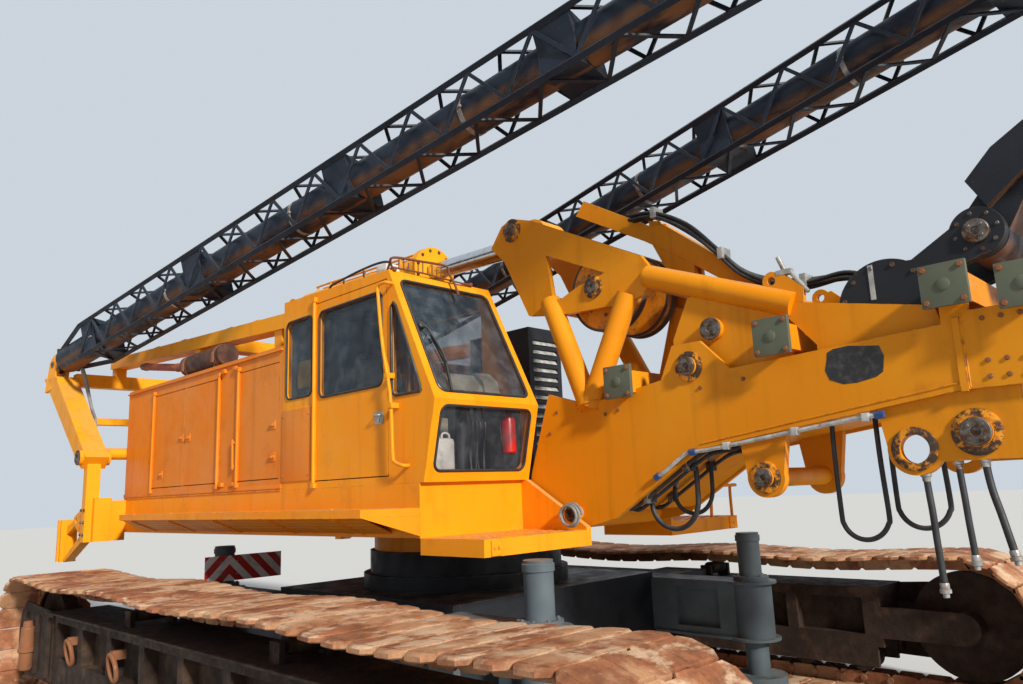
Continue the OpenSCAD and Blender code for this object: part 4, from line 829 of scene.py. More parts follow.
for k in range(3):
    line = [(-5.62, -1.86 + 0.02 * k, 3.76), (-5.54, -1.84, 3.70), (-5.42, -1.82, 3.50),
            (-5.16, -1.82, 3.20 - 0.03 * k), (-4.98, -1.82, 2.95), (-4.86, -1.83, 2.70), (-4.60, -1.80, 2.50)]
    drops.hose(through([(x + 0.035 * k, y, z) for x, y, z in line]), 0.016, 9)
drops.done("rear_frame_hoses", grey_hose, "upper", "black_paint")


# Cab: a welded sheet cab of the brighter yellow, with black rubber seals round its panes, clamped grab
# rails, a roof guard bent from thin tube, a black roof rail and a small white box on the roof.
cab_yellow = yellow_paint("cab_yellow", (0.84, 0.275, 0.0025), (0.84, 0.315, 0.008), 0.35, 0.71, 0.6)
give(cab_yellow, "cab_shell", "cab_door")


def pane_glass():
    """Clear safety glass, almost black where it mirrors nothing, filmed with dust, least on the lower front."""
    f = Finish("cab_glass")
    height = f.part_of(f.place, "Z")
    forward = f.part_of(f.place, "X")
    film = f.ramp(f.noise(3.0, 5, 0.65), 0.40, 0.72, 0.30, 0.46)
    lower_pane = f.maths("MULTIPLY", f.ramp(forward, 1.30, 1.36), f.ramp(height, 2.50, 2.56, 1.0, 0.0))
    film = f.maths("MULTIPLY", film, f.maths("SUBTRACT", 1.0, f.maths("MULTIPLY", lower_pane, 0.45)))
    f.link(film, f.bsdf.inputs["Alpha"])
    f.bsdf.inputs["IOR"].default_value = 1.5
    return f.finish(f.mix(f.ramp(f.noise(9.0, 4), 0.4, 0.7), (0.030, 0.050, 0.072), (0.100, 0.130, 0.155)),
                    f.ramp(f.noise(7.0, 3), 0.3, 0.7, 0.02, 0.07))


give(pane_glass(), "cab_glass", "cab_door_glass")
cab_low, cab_knee, cab_roof = Vector((1.378, 0, 1.949)), Vector((1.518, 0, 2.532)), Vector((0.989, 0, 3.595))
cab_face = -1.609
seal_rubber = rubber("seal_rubber", (0.010, 0.010, 0.011), 0.25)


def rounded_loop(u0, u1, v0, v1, r):
    """Points round a rectangle with round corners."""
    line = []
    for cu, cv, start in ((u1 - r, v1 - r, 0), (u0 + r, v1 - r, 90),
                          (u0 + r, v0 + r, 180), (u1 - r, v0 + r, 270)):
        for k in range(6):
            a = math.radians(start + 18 * k)
            line.append((cu + r * math.cos(a), cv + r * math.sin(a)))
    return line


def pane_seal(piece, loop, place, radius=0.010):
    """A rubber bead round a pane; place turns a point of the loop into a place on the cab."""
    piece.hose([place(u, v) for u, v in loop], radius, 8, closed=True)


def on_front(low, high):
    """Places on the cab's front: u up along it from its lower edge, v across the machine."""
    way = (high - low).normalized()
    return lambda u, v, out=0.0: low + way * u + Vector((0, v, 0)) + Vector((way.z, 0, -way.x)) * out


def on_side(y):
    """Places on a pane in the cab's side: u forward, v up."""
    return lambda u, v: Vector((u, y, v))


upper_front, lower_front = on_front(cab_knee, cab_roof), on_front(cab_low, cab_knee)
right_side, left_side = on_side(-1.611), on_side(-0.537)
upper_run, lower_run = (cab_roof - cab_knee).length, (cab_knee - cab_low).length
seals = Forming()
pane_seal(seals, rounded_loop(0.070, upper_run - 0.090, -1.534, -0.614, 0.06), upper_front, 0.013)
pane_seal(seals, rounded_loop(0.080, lower_run - 0.045, -1.534, -0.614, 0.06), lower_front, 0.011)
pane_seal(seals, rounded_loop(-0.548, -0.120, 2.740, 3.440, 0.06), right_side)
pane_seal(seals, [(1.02, 3.29), (1.02, 2.65), (1.035, 2.615), (1.07, 2.60), (1.365, 2.60), (1.36, 2.64),
                  (1.08, 3.29), (1.05, 3.32)], right_side, 0.012)
pane_seal(seals, rounded_loop(-0.10, 0.93, 2.70, 3.42, 0.06), left_side)
seals.done("cab_seals", seal_rubber, "upper", "black_paint")
door_seals = Forming()
pane_seal(door_seals, rounded_loop(0.0, 0.90, 2.70, 3.44, 0.06), right_side, 0.011)
door_seals.done("cab_door_seals", seal_rubber, "cab_door", "black_paint")
door_handle = Forming()
door_handle.block((0.800, -1.615, 2.405), (0.910, cab_face, 2.500), 0.003)
door_handle.hose(through([(0.815, -1.612, 2.47), (0.820, -1.640, 2.47), (0.850, -1.646, 2.47),
                          (0.885, -1.640, 2.47), (0.890, -1.612, 2.47)]), 0.007, 8)
door_handle.lathe((0.855, -1.612, 2.43), (0, -1, 0), [(0, 0.014), (0.010, 0.014), (0.012, 0.010)], 16)
door_handle.done("cab_door_handle", zinc, "cab_door", "worn_steel")
rails = Forming()
rails.hose(through([(1.040, cab_face, 3.470), (1.038, -1.655, 3.472), (0.985, -1.665, 3.478),
                    (0.925, -1.665, 3.462), (0.928, -1.665, 3.380), (0.982, -1.665, 2.987),
                    (1.070, -1.665, 2.601), (1.094, -1.665, 2.170), (1.120, -1.665, 2.105),
                    (1.205, -1.660, 2.076), (1.212, cab_face, 2.074)]), 0.0135, 12)
rails.rod((0.985, -1.665, 2.965), (1.000, -1.612, 2.760), 0.009, 10, 0.002)
for x, z in ((1.035, 2.750), (1.082, 2.520)):
    rails.block((x - 0.022, -1.682, z - 0.02), (x + 0.022, cab_face, z + 0.02), 0.004)
# The closed plate under the rear pane
rails.block((-0.60, -1.614, 2.03), (-0.085, cab_face, 2.66), 0.002)
rails.done("cab_grab_rail", cab_yellow, "upper", "yellow_paint")
rust_tube = plain_steel("guard_rust", (0.17, 0.10, 0.07), 0.8, (0.20, 0.070, 0.030))
roof_guard = Forming()
roof_guard.hose(through([(0.900, -1.560, 3.600), (0.960, -1.575, 3.655), (1.020, -1.575, 3.690),
                         (1.020, -1.300, 3.708), (1.020, -1.080, 3.718), (1.020, -1.025, 3.700),
                         (1.022, -1.012, 3.650), (1.080, -1.012, 3.560), (1.130, -1.012, 3.450)]), 0.010, 10)
roof_guard.hose(through([(1.000, -1.560, 3.615), (1.020, -1.300, 3.612), (1.020, -1.000, 3.600),
                         (1.010, -0.760, 3.598)]), 0.008, 8)
for k in range(11):
    y = -1.53 + 0.048 * k
    roof_guard.rod((1.018, y, 3.613), (1.018, y, 3.700 if k % 2 else 3.672), 0.005, 6)
for y in (-1.56, -0.76):
    roof_guard.block((0.955, y - 0.015, 3.590), (1.012, y + 0.015, 3.622), 0.004)
roof_guard.done("cab_roof_guard", rust_tube, "upper", "worn_steel")
roof_rail, roof_rail_y = Forming(), -1.50
roof_rail.hose(through([(x, roof_rail_y, z) for x, z in (
    (-0.03, 3.625), (0.00, 3.690), (0.142, 3.706), (0.415, 3.728), (0.700, 3.732), (0.86, 3.700),
    (0.90, 3.600))]), 0.010, 10)
for x in (0.20, 0.50):
    roof_rail.rod((x, roof_rail_y, 3.60), (x, roof_rail_y, 3.715), 0.008, 8)
roof_rail.done("cab_roof_rail", black, "upper", "black_paint")


def mottled(name, scale, detail, step, main, stain, rough, metal=0.0):
    """A plain finish with stained patches; step is where the pattern goes from the one to the other."""
    f = Finish(name)
    return f.finish(f.mix(f.ramp(f.noise(scale, detail), *step), main, stain), rough, metal)


white_shell = mottled("white_shell", 7.0, 5, (0.4, 0.7), (0.74, 0.74, 0.72), (0.48, 0.46, 0.41), 0.45)
roof_box = Forming()
roof_box.block((0.63, -1.47, 3.600), (0.77, -1.33, 3.730), 0.022)
roof_box.done("cab_roof_box", white_shell, "upper", "grey_paint")
wiper = Forming()
wiper.lathe(upper_front(0.645, -1.500, 0.000), upper_front(0, 0, 1) - upper_front(0, 0, 0),
            [(0, 0.030), (0.030, 0.028), (0.036, 0.018)], 16)
# Arm, blade holder and rubber lip: radius, sides, and places up the pane, across it and off the glass
for radius, sides, line in (
        (0.008, 8, ((0.645, -1.500, 0.030), (0.600, -1.470, 0.045), (0.400, -1.415, 0.045),
                    (0.300, -1.405, 0.040))),
        (0.009, 8, ((0.560, -1.440, 0.020), (0.300, -1.405, 0.030), (0.060, -1.440, 0.022))),
        (0.006, 6, ((0.560, -1.440, 0.014), (0.300, -1.405, 0.017), (0.060, -1.440, 0.014)))):
    wiper.hose([upper_front(*place) for place in line], radius, sides)
wiper.done("cab_wiper", seal_rubber, "upper", "black_paint")


# Inside the cab: a padded cloth seat, cream sheet lining and consoles with levers, a white can on the
# floor and a red extinguisher clamped at the front corner.
def woven_cloth():
    """Dark woven cloth, greyed by dust in patches."""
    f = Finish("seat_cloth")
    base = f.mix(f.ramp(f.noise(160.0, 2), 0.4, 0.6), (0.020, 0.020, 0.024), (0.050, 0.050, 0.055))
    base = f.mix(f.ramp(f.noise(4.0, 5), 0.5, 0.75, 0.0, 0.5), base, (0.10, 0.09, 0.08))
    f.bump(f.noise(220.0, 2), 0.001, 0.4)
    return f.finish(base, f.ramp(f.noise(8.0, 3), 0.3, 0.7, 0.85, 0.95))


cloth = woven_cloth()


def squared_circle(power, count):
    """Points round a unit circle pushed out toward a square: the lower the power, the squarer."""
    line = []
    for k in range(count):
        a = 2 * math.pi * k / count
        c, s = math.cos(a), math.sin(a)
        line.append((math.copysign(abs(c) ** power, c), math.copysign(abs(s) ** power, s)))
    return line


def cushion(piece, centre, size, crown, tip=0.0):
    """A stuffed pad: round edges and a crowned face, tipped about the machine's width."""
    sx, sy, sz = (s / 2 for s in size)
    turn = Matrix.Rotation(tip, 4, "Y")
    rings = []
    for t, grow in ((-1.0, 0.90), (-0.86, 0.985), (-0.5, 1.0), (0.45, 1.0), (0.80, 0.97), (1.0, 0.86),
                    (1.0, 0.55), (1.0, 0.25)):
        lift = crown * (1 - grow ** 2) if t == 1.0 else 0.0
        rings.append([Vector(centre) + turn @ Vector((x * sx * grow, y * sy * grow, t * sz + lift))
                      for x, y in squared_circle(0.35, 40)])
    piece.skin(rings)


seat, seat_y = Forming(), -1.074
cushion(seat, (0.27, seat_y, 2.375), (0.52, 0.50, 0.12), 0.030)
cushion(seat, (0.045, seat_y, 2.760), (0.60, 0.47, 0.11), 0.028, math.radians(98))
cushion(seat, (-0.035, seat_y, 3.055), (0.15, 0.26, 0.09), 0.015, math.radians(98))
for y in (seat_y - 0.245, seat_y + 0.245):
    cushion(seat, (0.20, y, 2.62), (0.32, 0.06, 0.05), 0.010)
seat_piece = seat.done("driver_seat", cloth, "upper", "seat", 50.0)
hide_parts("cab_seat")
seat_base = Forming()
seat_base.block((0.08, seat_y - 0.17, 1.995), (0.44, seat_y + 0.17, 2.09), 0.012)
# The folds of the bellows between the base and the cushion
seat_base.skin([[Vector((0.26 + x * 0.15 * g, seat_y + y * 0.15 * g, z)) for x, y in squared_circle(0.4, 24)]
                for g, z in ((1.0, 2.085), (1.06, 2.12), (0.94, 2.15), (1.06, 2.18), (0.94, 2.21), (1.06, 2.24),
                             (0.94, 2.27), (1.0, 2.315))])
for y in (seat_y - 0.245, seat_y + 0.245):
    seat_base.rod((0.06, y, 2.40), (0.10, y, 2.60), 0.014, 10)
seat_base.done("driver_seat_base", seal_rubber, "upper", "black_paint")
cream = mottled("cream_lining", 5.0, 5, (0.4, 0.75), (0.50, 0.45, 0.34), (0.24, 0.20, 0.15), 0.55)
lining = Forming()
lining.block((-0.05, -1.50, 2.00), (0.52, -1.38, 2.52), 0.02)
lining.block((-0.05, -0.76, 2.00), (0.52, -0.63, 2.52), 0.02)
# Steering console: a cream top on a stalk, leaning back toward the seat, and a smaller one beside it
lining.plate([(1.24, 2.56), (1.40, 2.575), (1.385, 2.66), (1.285, 2.765), (1.22, 2.72)], -1.34, -1.02)
lining.plate([(1.27, 2.58), (1.36, 2.59), (1.33, 2.72), (1.24, 2.80)], -0.96, -0.80)
lining.done("cab_console", cream, "upper", "grey_paint")
cab_grey = dark_paint("cab_grey_lining", (0.060, 0.066, 0.070), 0.0, 0.3, 0.0)
panels = Forming()
for corner, opposite in (
        ((-0.556, -1.55, 1.998), (-0.540, -0.60, 3.58)), ((-0.55, -1.55, 3.545), (0.90, -0.60, 3.560)),
        ((-0.55, -0.600, 1.998), (1.36, -0.586, 2.66)), ((-0.55, -0.600, 2.66), (-0.12, -0.586, 3.56)),
        ((-0.55, -0.600, 3.43), (0.90, -0.586, 3.56)), ((-0.54, -1.560, 1.998), (-0.10, -1.548, 2.72)),
        ((0.99, -1.560, 1.998), (1.34, -1.548, 2.52))):
    panels.block(corner, opposite, 0.004)
# The floor mat
panels.block((-0.54, -1.55, 1.995), (1.33, -0.60, 2.003), 0.002)
panels.done("cab_panels", cab_grey, "upper", "grey_paint")
levers = Forming()
for x, y in ((0.42, -1.44), (0.34, -1.44), (0.42, -0.70), (0.34, -0.70)):
    levers.hose(through([(x, y, 2.51), (x + 0.02, y, 2.60), (x + 0.03, y, 2.68)]), 0.007, 8)
    levers.lathe((x + 0.03, y, 2.67), (0, 0, 1), [(0, 0.012), (0.02, 0.022), (0.05, 0.022), (0.065, 0.010)], 12)
for x, y in ((0.98, -1.28), (1.00, -1.16)):
    levers.hose(through([(x, y, 1.995), (x - 0.05, y, 2.25), (x - 0.03, y, 2.50), (x + 0.01, y, 2.66)]), 0.009, 8)
    levers.lathe((x + 0.01, y, 2.65), (0, 0, 1), [(0, 0.013), (0.02, 0.022), (0.05, 0.022), (0.07, 0.010)], 12)
levers.rod((1.30, -1.18, 2.00), (1.31, -1.18, 2.58), 0.045, 20, 0.004)
for y, bow in ((-1.10, 0.05), (-1.06, 0.02), (-1.02, 0.07), (-0.97, 0.04)):
    levers.hose(through([(1.32, y, 2.01), (1.34 - bow, y + 0.02, 2.18), (1.36, y - 0.01, 2.36),
                         (1.34 - bow, y + 0.01, 2.50), (1.33, y, 2.58)]), 0.011, 8)
levers.done("cab_levers", seal_rubber, "upper", "black_paint")
can, can_low, can_high = Forming(), 2.003, 2.27
can.skin([[Vector((1.275 + x * 0.055 * g, -1.360 + y * 0.105 * g, z)) for x, y in squared_circle(0.45, 32)]
          for g, z in ((0.92, can_low), (1.0, can_low + 0.012), (1.0, can_high - 0.03),
                       (0.93, can_high - 0.008), (0.70, can_high))])
can.lathe((1.275, -1.400, 2.268), (0, 0, 1), [(0, 0.026), (0.024, 0.026), (0.028, 0.020)], 20)
can.hose(through([(1.275, -1.350, 2.262), (1.275, -1.345, 2.300), (1.275, -1.310, 2.310), (1.275, -1.280, 2.295),
                  (1.275, -1.275, 2.262)]), 0.009, 8)
can.done("cab_can", white_shell, "upper", "grey_paint")
amber = mottled("amber_cover", 6.0, 4, (0.4, 0.7), (0.78, 0.50, 0.010), (0.60, 0.34, 0.010), 0.5)
cover = Forming()
cushion(cover, (-0.400, -1.500, 2.960), (0.24, 0.050, 0.24), 0.004)
cover.done("cab_yellow_cover", amber, "upper", "seat")
red = mottled("red_bottle", 9.0, 4, (0.45, 0.75), (0.46, 0.012, 0.012), (0.26, 0.02, 0.018), 0.32)
bottle, bottle_x, bottle_y = Forming(), 1.375, -0.745
bottle.lathe((bottle_x, bottle_y, 2.155), (0, 0, 1),
             [(0, 0.045), (0.012, 0.060), (0.25, 0.060), (0.29, 0.048), (0.31, 0.022)], 28)
bottle.done("cab_extinguisher", red, "upper", "grey_paint")
valve = Forming()
valve.lathe((bottle_x, bottle_y, 2.465), (0, 0, 1), [(-0.01, 0.018), (0.04, 0.018), (0.044, 0.012)], 16)
valve.block((bottle_x - 0.020, -0.825, 2.498), (bottle_x + 0.020, -0.705, 2.508), 0.003)
valve.hose(through([(bottle_x, -0.765, 2.480), (bottle_x, -0.825, 2.460), (bottle_x, -0.835, 2.35),
                    (bottle_x, -0.815, 2.21)]), 0.007, 8)
valve.done("cab_extinguisher_valve", seal_rubber, "upper", "black_paint")


# Front frame: the brightest yellow, a thick welded plate frame hinged to the deck. Its transverse boxes end
# in square bolted covers, its pins have bolted keepers, and a blank black patch is painted on its side.
bright_yellow = yellow_paint("front_yellow", (0.70, 0.232, 0.0020), (0.70, 0.262, 0.006), 0.4, 0.68, 0.9)
give(bright_yellow, "front_frame", "cross_boxes", "hose_arm")
frame_face, cover_face = 0.500, 0.617
sheave_x, sheave_z = 2.040, 3.420
frame_pins = [
    # x, z, radius, distance of its face from the middle
    (3.060, 2.900, 0.080, 0.440), (2.905, 2.655, 0.065, 0.530), (3.370, 1.885, 0.060, 0.490),
    (4.590, 2.075, 0.080, 0.490), (1.170, 4.120, 0.060, 0.420), (sheave_x, sheave_z, 0.050, 0.415),
    (1.840, 1.680, 0.060, 0.575), (4.700, 3.180, 0.070, 0.350)]
bosses = [
    # x, z, inner radius, outer radius, face of the plate
    (3.370, 1.885, 0.062, 0.100, 0.460), (4.270, 2.005, 0.080, 0.122, 0.460), (4.590, 2.075, 0.082, 0.125, 0.460),
    (1.170, 4.120, 0.062, 0.105, 0.400), (sheave_x, sheave_z, 0.052, 0.090, 0.400),
    (2.905, 2.655, 0.067, 0.105, frame_face)]


def greased_boss():
    """Yellow paint under black grease and rust."""
    f = Finish("greased_boss")
    base = f.mix(f.ramp(f.noise(11.0, 6, 0.7), 0.40, 0.54), (0.80, 0.290, 0.004), (0.040, 0.020, 0.011))
    base = f.mix(f.ramp(f.noise(28.0, 5, 0.7), 0.58, 0.64), base, (0.15, 0.060, 0.025))
    f.bump(f.noise(22.0, 5), 0.003, 0.5)
    return f.finish(base, f.ramp(f.noise(9.0, 4), 0.3, 0.7, 0.35, 0.75))


greased = greased_boss()
cover_paint = dark_paint("cover_green_grey", (0.062, 0.070, 0.048), 0.0, 0.5)
for side, hand in ((-1, "right"), (1, "left")):
    pins = Forming()
    for x, z, radius, face in frame_pins:
        pin_cap(pins, x, z, radius, face, side)
    pins.done("front_frame_pins_" + hand, greasy, "front_frame", "worn_steel")
    rings = Forming()
    for x, z, inner, outer, face in bosses:
        rings.ring(Vector((x, 0, z)), Vector((0, side, 0)), level, upright,
                   [(face - 0.002, inner), (face - 0.002, outer), (face + 0.010, outer),
                    (face + 0.014, outer - 0.006), (face + 0.014, inner)])
    rings.done("front_frame_bosses_" + hand, greased, "front_frame", "yellow_paint")
    covers, cover_bolts = Forming(), Forming()
    for x, z in ((2.370, 2.610), (3.570, 2.745), (4.570, 2.860), (4.930, 2.795)):
        covers.block((x - 0.118, side * 0.585, z - 0.118), (x + 0.118, side * cover_face, z + 0.118), 0.004)
        covers.lathe((x, side * cover_face, z), (0, side, 0),
                     [(-0.002, 0.034), (0.006, 0.034), (0.008, 0.030)], 20)
        corners = [(x + u, side * cover_face, z + v) for u in (-0.092, 0.092) for v in (-0.092, 0.092)]
        cover_bolts.bolts(corners, (0, side, 0), 0.015)
    covers.done("box_covers_" + hand, cover_paint, "front_frame", "grey_paint")
    cover_bolts.done("box_cover_bolts_" + hand, rusty_steel, "front_frame", "worn_steel")
    rows = Forming()
    y = side * frame_face
    rows.bolts([(4.70 + 0.0875 * k, y, z) for k in range(9) for z in (2.665, 2.440, 2.355)], (0, side, 0), 0.012)
    single = ((1.46, 1.86), (1.60, 2.30), (1.68, 2.46), (2.16, 2.40), (2.28, 2.42), (2.98, 2.50), (3.30, 2.52))
    rows.bolts([(x, y, z) for x, z in single], (0, side, 0), 0.013)
    rows.done("front_frame_bolts_" + hand, rusty_steel, "front_frame", "worn_steel")
# Welds: beads along the frame's long seams and round its struts' feet
welds = Forming()
for side in (-1, 1):
    y = side * (frame_face + 0.0005)
    welds.hose([(x, y, z) for x, z in ((2.95, 2.125), (3.30, 2.172), (3.80, 2.238), (4.30, 2.304),
                                       (4.545, 2.337))], 0.006, 6)
    welds.hose([(4.5925, side * 0.502, z) for z in (2.30, 2.45, 2.60, 2.68)], 0.006, 6)
    for x in (4.60, 5.44):
        welds.hose([(x, y, 2.31), (x, y, 2.71)], 0.006, 6)
    for x in (2.00, 2.01):
        ring = [(x + 0.1035 * math.cos(a), side * 0.48 + 0.09 * math.sin(a), 2.492 + 0.02 * math.cos(a))
                for a in (2 * math.pi * k / 24 for k in range(24))]
        welds.hose(ring, 0.008, 6, closed=True)
welds.done("front_frame_welds", bright_yellow, "front_frame", "yellow_paint")
patch_black = mottled("patch_black", 22.0, 5, (0.45, 0.70), (0.014, 0.014, 0.016), (0.055, 0.050, 0.045), 0.5)
patch = Forming()
outline = [(3.855, 2.560), (3.862, 2.605), (3.90, 2.622), (3.99, 2.628), (4.09, 2.612), (4.165, 2.602),
           (4.185, 2.540), (4.170, 2.450), (4.130, 2.425), (4.02, 2.405), (3.94, 2.405), (3.86, 2.440),
           (3.838, 2.500)]
patch.plate(outline, -frame_face, -frame_face - 0.0015)
patch.done("blank_black_patch", patch_black, "front_frame", "black_paint")


# Rope sheave: a cast wheel on a greased pin in the frame's lugs, painted with the frame, its groove bare and
# dark with grease. Each side has a bored hub ring with a circle of bolts round it.
def sheave_finish():
    """Worn yellow paint, and bare greasy steel in the groove outside it."""
    f = Finish("sheave_yellow")
    x = f.maths("SUBTRACT", f.part_of(f.place, "X"), sheave_x)
    z = f.maths("SUBTRACT", f.part_of(f.place, "Z"), sheave_z)
    reach = f.maths("SQRT", f.maths("ADD", f.maths("MULTIPLY", x, x), f.maths("MULTIPLY", z, z)))
    base = f.mix(f.ramp(f.noise(5.0, 6, 0.7), 0.42, 0.68), (0.76, 0.27, 0.004), (0.24, 0.090, 0.020))
    base = f.mix(f.ramp(reach, 0.312, 0.322), base, (0.050, 0.036, 0.028))
    base = f.mix(f.ramp(f.noise(30.0, 5, 0.7), 0.60, 0.66), base, (0.13, 0.055, 0.025))
    f.bump(f.noise(26.0, 5), 0.002, 0.4)
    return f.finish(base, f.ramp(f.noise(8.0, 4), 0.3, 0.7, 0.40, 0.70))


give(sheave_finish(), "sheave")
hubs = Forming()
for side in (-1, 1):
    hubs.ring(Vector((sheave_x, 0, sheave_z)), Vector((0, side, 0)), level, upright,
              [(0.259, 0.056), (0.259, 0.130), (0.272, 0.124), (0.272, 0.056)])
    hub = Vector((sheave_x, side * 0.260, sheave_z))
    hubs.bolts(circle(hub, level, upright, 0.205, 8), (0, side, 0), 0.014)
hubs.done("sheave_hubs", rusty_steel, "sheave", "worn_steel")


# Plumbing of the front frame: a bundle of six black hoses over the hose arm down to the leader's foot,
# held by clamps, a plated steel tube with blue union nuts, and hoses clamped under the frame's knee.
bundle = Forming()
bundle_line = ((2.10, 4.06), (2.35, 4.02), (2.64, 3.83), (2.88, 3.58), (3.07, 3.37), (3.30, 3.24), (3.55, 3.18),
               (3.83, 3.17), (3.98, 3.10), (4.08, 3.00))
for k, wave in enumerate((0, 1, -1, 1, 0, -1)):
    # Two layers of three; wave is the way in which a hose wanders out of the bundle
    across, rise = 0.050 + 0.030 * (k % 3), 0.034 * (k // 3)
    bundle.hose(through([(x + 0.01 * rise, across - 0.045 * max(0.0, x - 3.0) - 0.012 * wave * math.sin(4 * x),
                          z + rise + 0.020 * wave * math.sin(3.1 * x) * (0.3 < x - 2.1 < 1.7))
                         for x, z in bundle_line], 6), 0.0135, 9)
bundle.done("hose_bundle", hose_rubber, "front_frame", "black_paint")
bundle_clamps = Forming()
for x, y, z in ((2.36, 0.080, 4.030), (2.93, 0.080, 3.545), (3.55, 0.055, 3.195)):
    bundle_clamps.block((x - 0.022, y - 0.065, z - 0.028), (x + 0.022, y + 0.065, z + 0.062), 0.006)
bundle_clamps.rod((3.560, -0.375, 3.300), (3.600, -0.375, 3.190), 0.016, 14, 0.003)
bundle_clamps.rod((3.630, -0.375, 3.190), (3.740, -0.375, 3.030), 0.014, 14, 0.003)
bundle_clamps.block((3.545, -0.40, 3.170), (3.650, -0.35, 3.205), 0.005)
bundle_clamps.block((4.100, -0.345, 2.905), (4.130, -0.3395, 3.120), 0.002)
bundle_clamps.done("hose_bundle_clamps", zinc, "front_frame", "worn_steel")
side_tube, tube_y = Forming(), -0.520
side_tube.hose(through([(x, tube_y, z) for x, z in (
    (2.575, 1.910), (2.660, 1.955), (2.800, 2.045), (2.865, 2.072), (3.034, 2.084), (3.500, 2.140),
    (3.989, 2.197), (4.141, 2.206))]), 0.014, 12)
for x, z in ((3.15, 2.098), (3.62, 2.155), (4.05, 2.200)):
    side_tube.block((x - 0.020, -0.540, z - 0.024), (x + 0.020, -0.4995, z + 0.024), 0.003)
side_tube.done("side_tube", plain_steel("bright_tube", (0.58, 0.58, 0.56), 0.15), "front_frame", "worn_steel")
blue = mottled("blue_nuts", 30.0, 4, (0.45, 0.7), (0.03, 0.09, 0.28), (0.10, 0.12, 0.16), 0.4, 0.4)
nuts = Forming()
for (x0, z0), (x1, z1) in (((2.865, 2.072), (2.920, 2.076)), ((4.100, 2.204), (4.155, 2.207)),
                           ((2.575, 1.910), (2.618, 1.935))):
    nuts.rod((x0, tube_y, z0), (x1, tube_y, z1), 0.023, 6, 0.003)
nuts.done("side_tube_nuts", blue, "front_frame", "blue_grey_paint")
knee = Forming()
knee_line = ((2.36, 1.745), (2.52, 1.842), (2.70, 1.953), (2.86, 2.052), (2.98, 2.104), (3.15, 2.128))
for y, drop in ((-0.44, 0.020), (-0.405, 0.045), (-0.37, 0.030), (-0.13, 0.040), (-0.09, 0.025)):
    knee.hose(through([(2.285, y, 1.700)] + [(x, y, z - drop) for x, z in knee_line] + [(3.24, y, 2.150)]),
              0.013, 9)
knee.done("knee_hoses", hose_rubber, "front_frame", "black_paint")
knee_clamps = Forming()
for x, z in ((2.44, 1.775), (2.78, 1.985), (3.06, 2.118)):
    for y0, y1 in ((-0.465, -0.345), (-0.155, -0.065)):
        knee_clamps.block((x - 0.018, y0, z - 0.035), (x + 0.018, y1, z + 0.040), 0.004)
knee_clamps.done("knee_hose_clamps", greasy, "front_frame", "worn_steel")
# A hose coiled up beside the step, a little tighter with each turn
step_hose = Forming()
turns = []
for k in range(62):
    a = 2 * math.pi * k / 24
    turns.append((1.885 + (0.095 - 0.0004 * k) * math.cos(a), -0.615 - 0.0010 * k,
                  1.672 + (0.086 - 0.0003 * k) * math.sin(a)))
step_hose.hose(turns, 0.011, 9)
step_hose.done("step_hose_coil", grey_hose, "upper", "black_paint")


# Leader and its foot: black box weldings, rusting on the underside, with guide pipes welded on along the
# front. The leader's lengths are bolted together at flanges, and the foot has rings of bolts at its sides.
give(black, "leader_foot")
leader_black = dark_paint("leader_black", (0.0065, 0.008, 0.012), 0.85, 0.3)
give(leader_black, "leader", "leader_head")
pivot, tilt = Vector((4.70, 0, 3.18)), math.radians(30.5)
leader_x, leader_z = Vector((math.cos(tilt), 0, math.sin(tilt))), Vector((-math.sin(tilt), 0, math.cos(tilt)))
leader_bolts = Forming()
around = [(y, z) for y in (-0.2, 0.2) for z in (-0.30, -0.15, 0.0, 0.15, 0.30)]
around += [(y, z) for y in (-0.13, 0.0, 0.13) for z in (-0.356, 0.356)]
for u in (7.5, 13.5, 19.5):
    for out in (1, -1):
        flange = pivot + leader_x * (u + 0.025 * out)
        leader_bolts.bolts([flange + leader_z * z + Vector((0, y, 0)) for y, z in around], leader_x * out, 0.013)
leader_bolts.done("leader_flange_bolts", rusty_steel, "leader", "worn_steel")
foot_bolts = Forming()
for side in (-1, 1):
    # The foot's side plate is cut off below, so the large ring has no bolts there
    large = circle(Vector((4.18, side * 0.340, 2.86)), level, upright, 0.245, 12, 15)
    foot_bolts.bolts([place for place in large if place.z > 2.73], (0, side, 0), 0.014)
    small = circle(pivot + Vector((0, side * 0.340, 0)), level, upright, 0.108, 8, 10)
    foot_bolts.bolts(small, (0, side, 0), 0.011)
foot_bolts.done("leader_foot_bolts", greasy, "front_frame", "worn_steel")


# Top cylinder: a yellow barrel with a bolted end ring and two pipes along it, and a chromed rod whose eye
# is painted yellow.
def chromed_rod():
    """Bright chrome that goes over to worn yellow paint at the eye."""
    f = Finish("rod_chrome")
    eye = f.ramp(f.part_of(f.place, "X"), 0.855, 0.870)
    chrome = f.mix(f.ramp(f.noise(12.0, 4), 0.45, 0.75), (0.62, 0.63, 0.65), (0.40, 0.38, 0.36))
    paint = f.mix(f.ramp(f.noise(5.0, 6, 0.7), 0.45, 0.72), (0.84, 0.31, 0.004), (0.35, 0.13, 0.012))
    f.link(f.ramp(eye, 0.0, 1.0, 1.0, 0.0), f.bsdf.inputs["Metallic"])
    return f.finish(f.mix(eye, chrome, paint), f.ramp(eye, 0.0, 1.0, 0.18, 0.48))


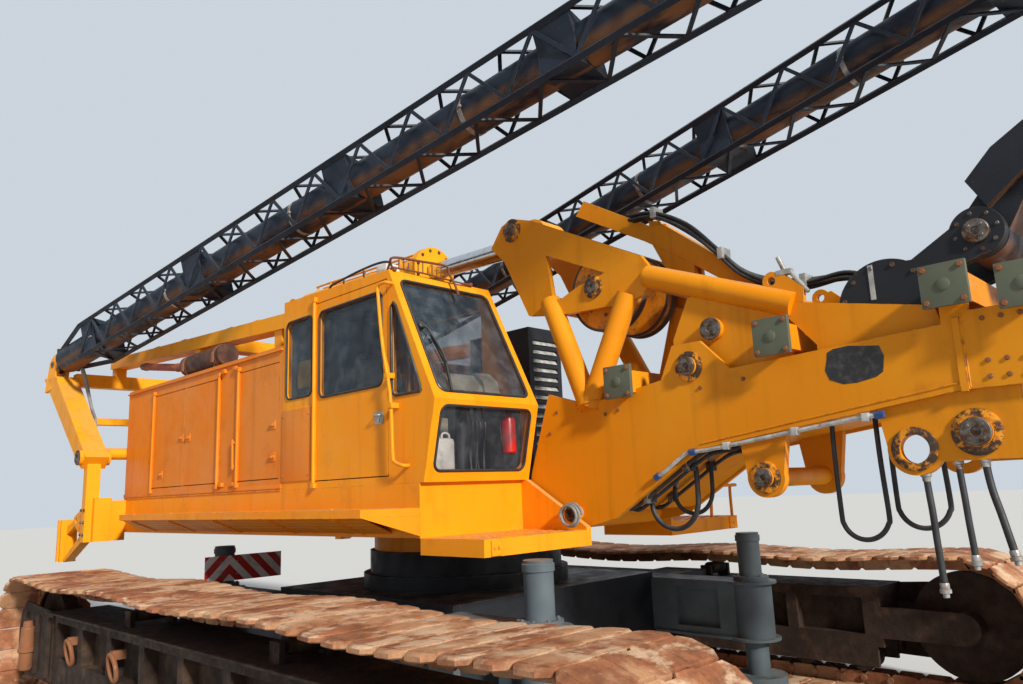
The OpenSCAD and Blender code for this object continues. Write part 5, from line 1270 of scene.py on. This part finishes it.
give(frame_yellow, "top_cylinder_barrel")
give(chromed_rod(), "top_cylinder_rod")
barrel_pin = Vector((-3.0, 0, 4.25))
barrel_way = (Vector((1.17, 0, 4.12)) - barrel_pin).normalized()
barrel_up = Vector((-barrel_way.z, 0, barrel_way.x))
barrel_bolts, leftward = Forming(), Vector((0, 1, 0))
for s, out in ((2.620, 1), (2.520, -1)):
    end_ring = circle(barrel_pin + barrel_way * s, barrel_up, leftward, 0.228, 12, 15)
    barrel_bolts.bolts(end_ring, barrel_way * out, 0.017)
barrel_bolts.done("top_cylinder_bolts", greasy, "top_cylinder_barrel", "worn_steel")
barrel_pipes = Forming()
# Each pipe's line: distance along the barrel from its pin, and height over its middle line
pipe_line = ((0.40, 0.17), (0.40, 0.222), (0.46, 0.235), (1.40, 0.235), (2.30, 0.235), (2.40, 0.228), (2.42, 0.16))
for y in (-0.05, 0.05):
    start = barrel_pin + leftward * y
    barrel_pipes.hose(through([start + barrel_way * s + barrel_up * r for s, r in pipe_line]), 0.012, 10)
    for s in (0.70, 1.40, 2.10):
        foot = start + barrel_way * s
        barrel_pipes.rod(foot + barrel_up * 0.17, foot + barrel_up * 0.252, 0.018, 12, 0.003)
barrel_pipes.done("top_cylinder_pipes", frame_yellow, "top_cylinder_barrel", "yellow_paint")


# Stays: long black tubes stiffened by laced bars, dark brown with rust underneath, their sliding rods
# sealed by a bolted ring at the front end of each tube.
for side, hand in ((-1, "right"), (1, "left")):
    rear = Vector((-5.93, side * 1.99, 3.78))
    eye = pivot + leader_x * 5.768 - leader_z * 0.190 + Vector((0, side * 0.31, 0))
    way = (eye - rear).normalized()
    across = way.cross(Vector((0, 0, 1))).normalized()
    rise = across.cross(way)
    give(dark_paint("stay_black_" + hand, (0.0055, 0.0095, 0.018), 0.95, 0.25, 0.4, (rear, way)),
         "stay_tube_" + hand, "stay_rod_" + hand)
    gland = Forming()
    end = rear + way * 11.15
    gland.ring(end, way, across, rise,
               [(-0.004, 0.106), (-0.004, 0.166), (0.034, 0.166), (0.040, 0.158), (0.040, 0.106)])
    gland.bolts(circle(end + way * 0.040, across, rise, 0.135, 10), way, 0.013)
    gland.done("stay_gland_" + hand, greasy, "stay_tube_" + hand, "worn_steel")
    ties = Forming()
    for s in (1.30, 3.10, 5.40, 7.60, 9.80):
        middle = rear + way * s
        ties.ring(middle, way, across, rise, [(-0.02, 0.168), (-0.02, 0.174), (0.02, 0.174), (0.02, 0.168)])
        ear = middle + across * 0.175
        ties.rod(ear - way * 0.03, ear + way * 0.03, 0.012, 10, 0.002)
    ties.done("stay_bands_" + hand, hose_steel, "stay_tube_" + hand, "worn_steel")
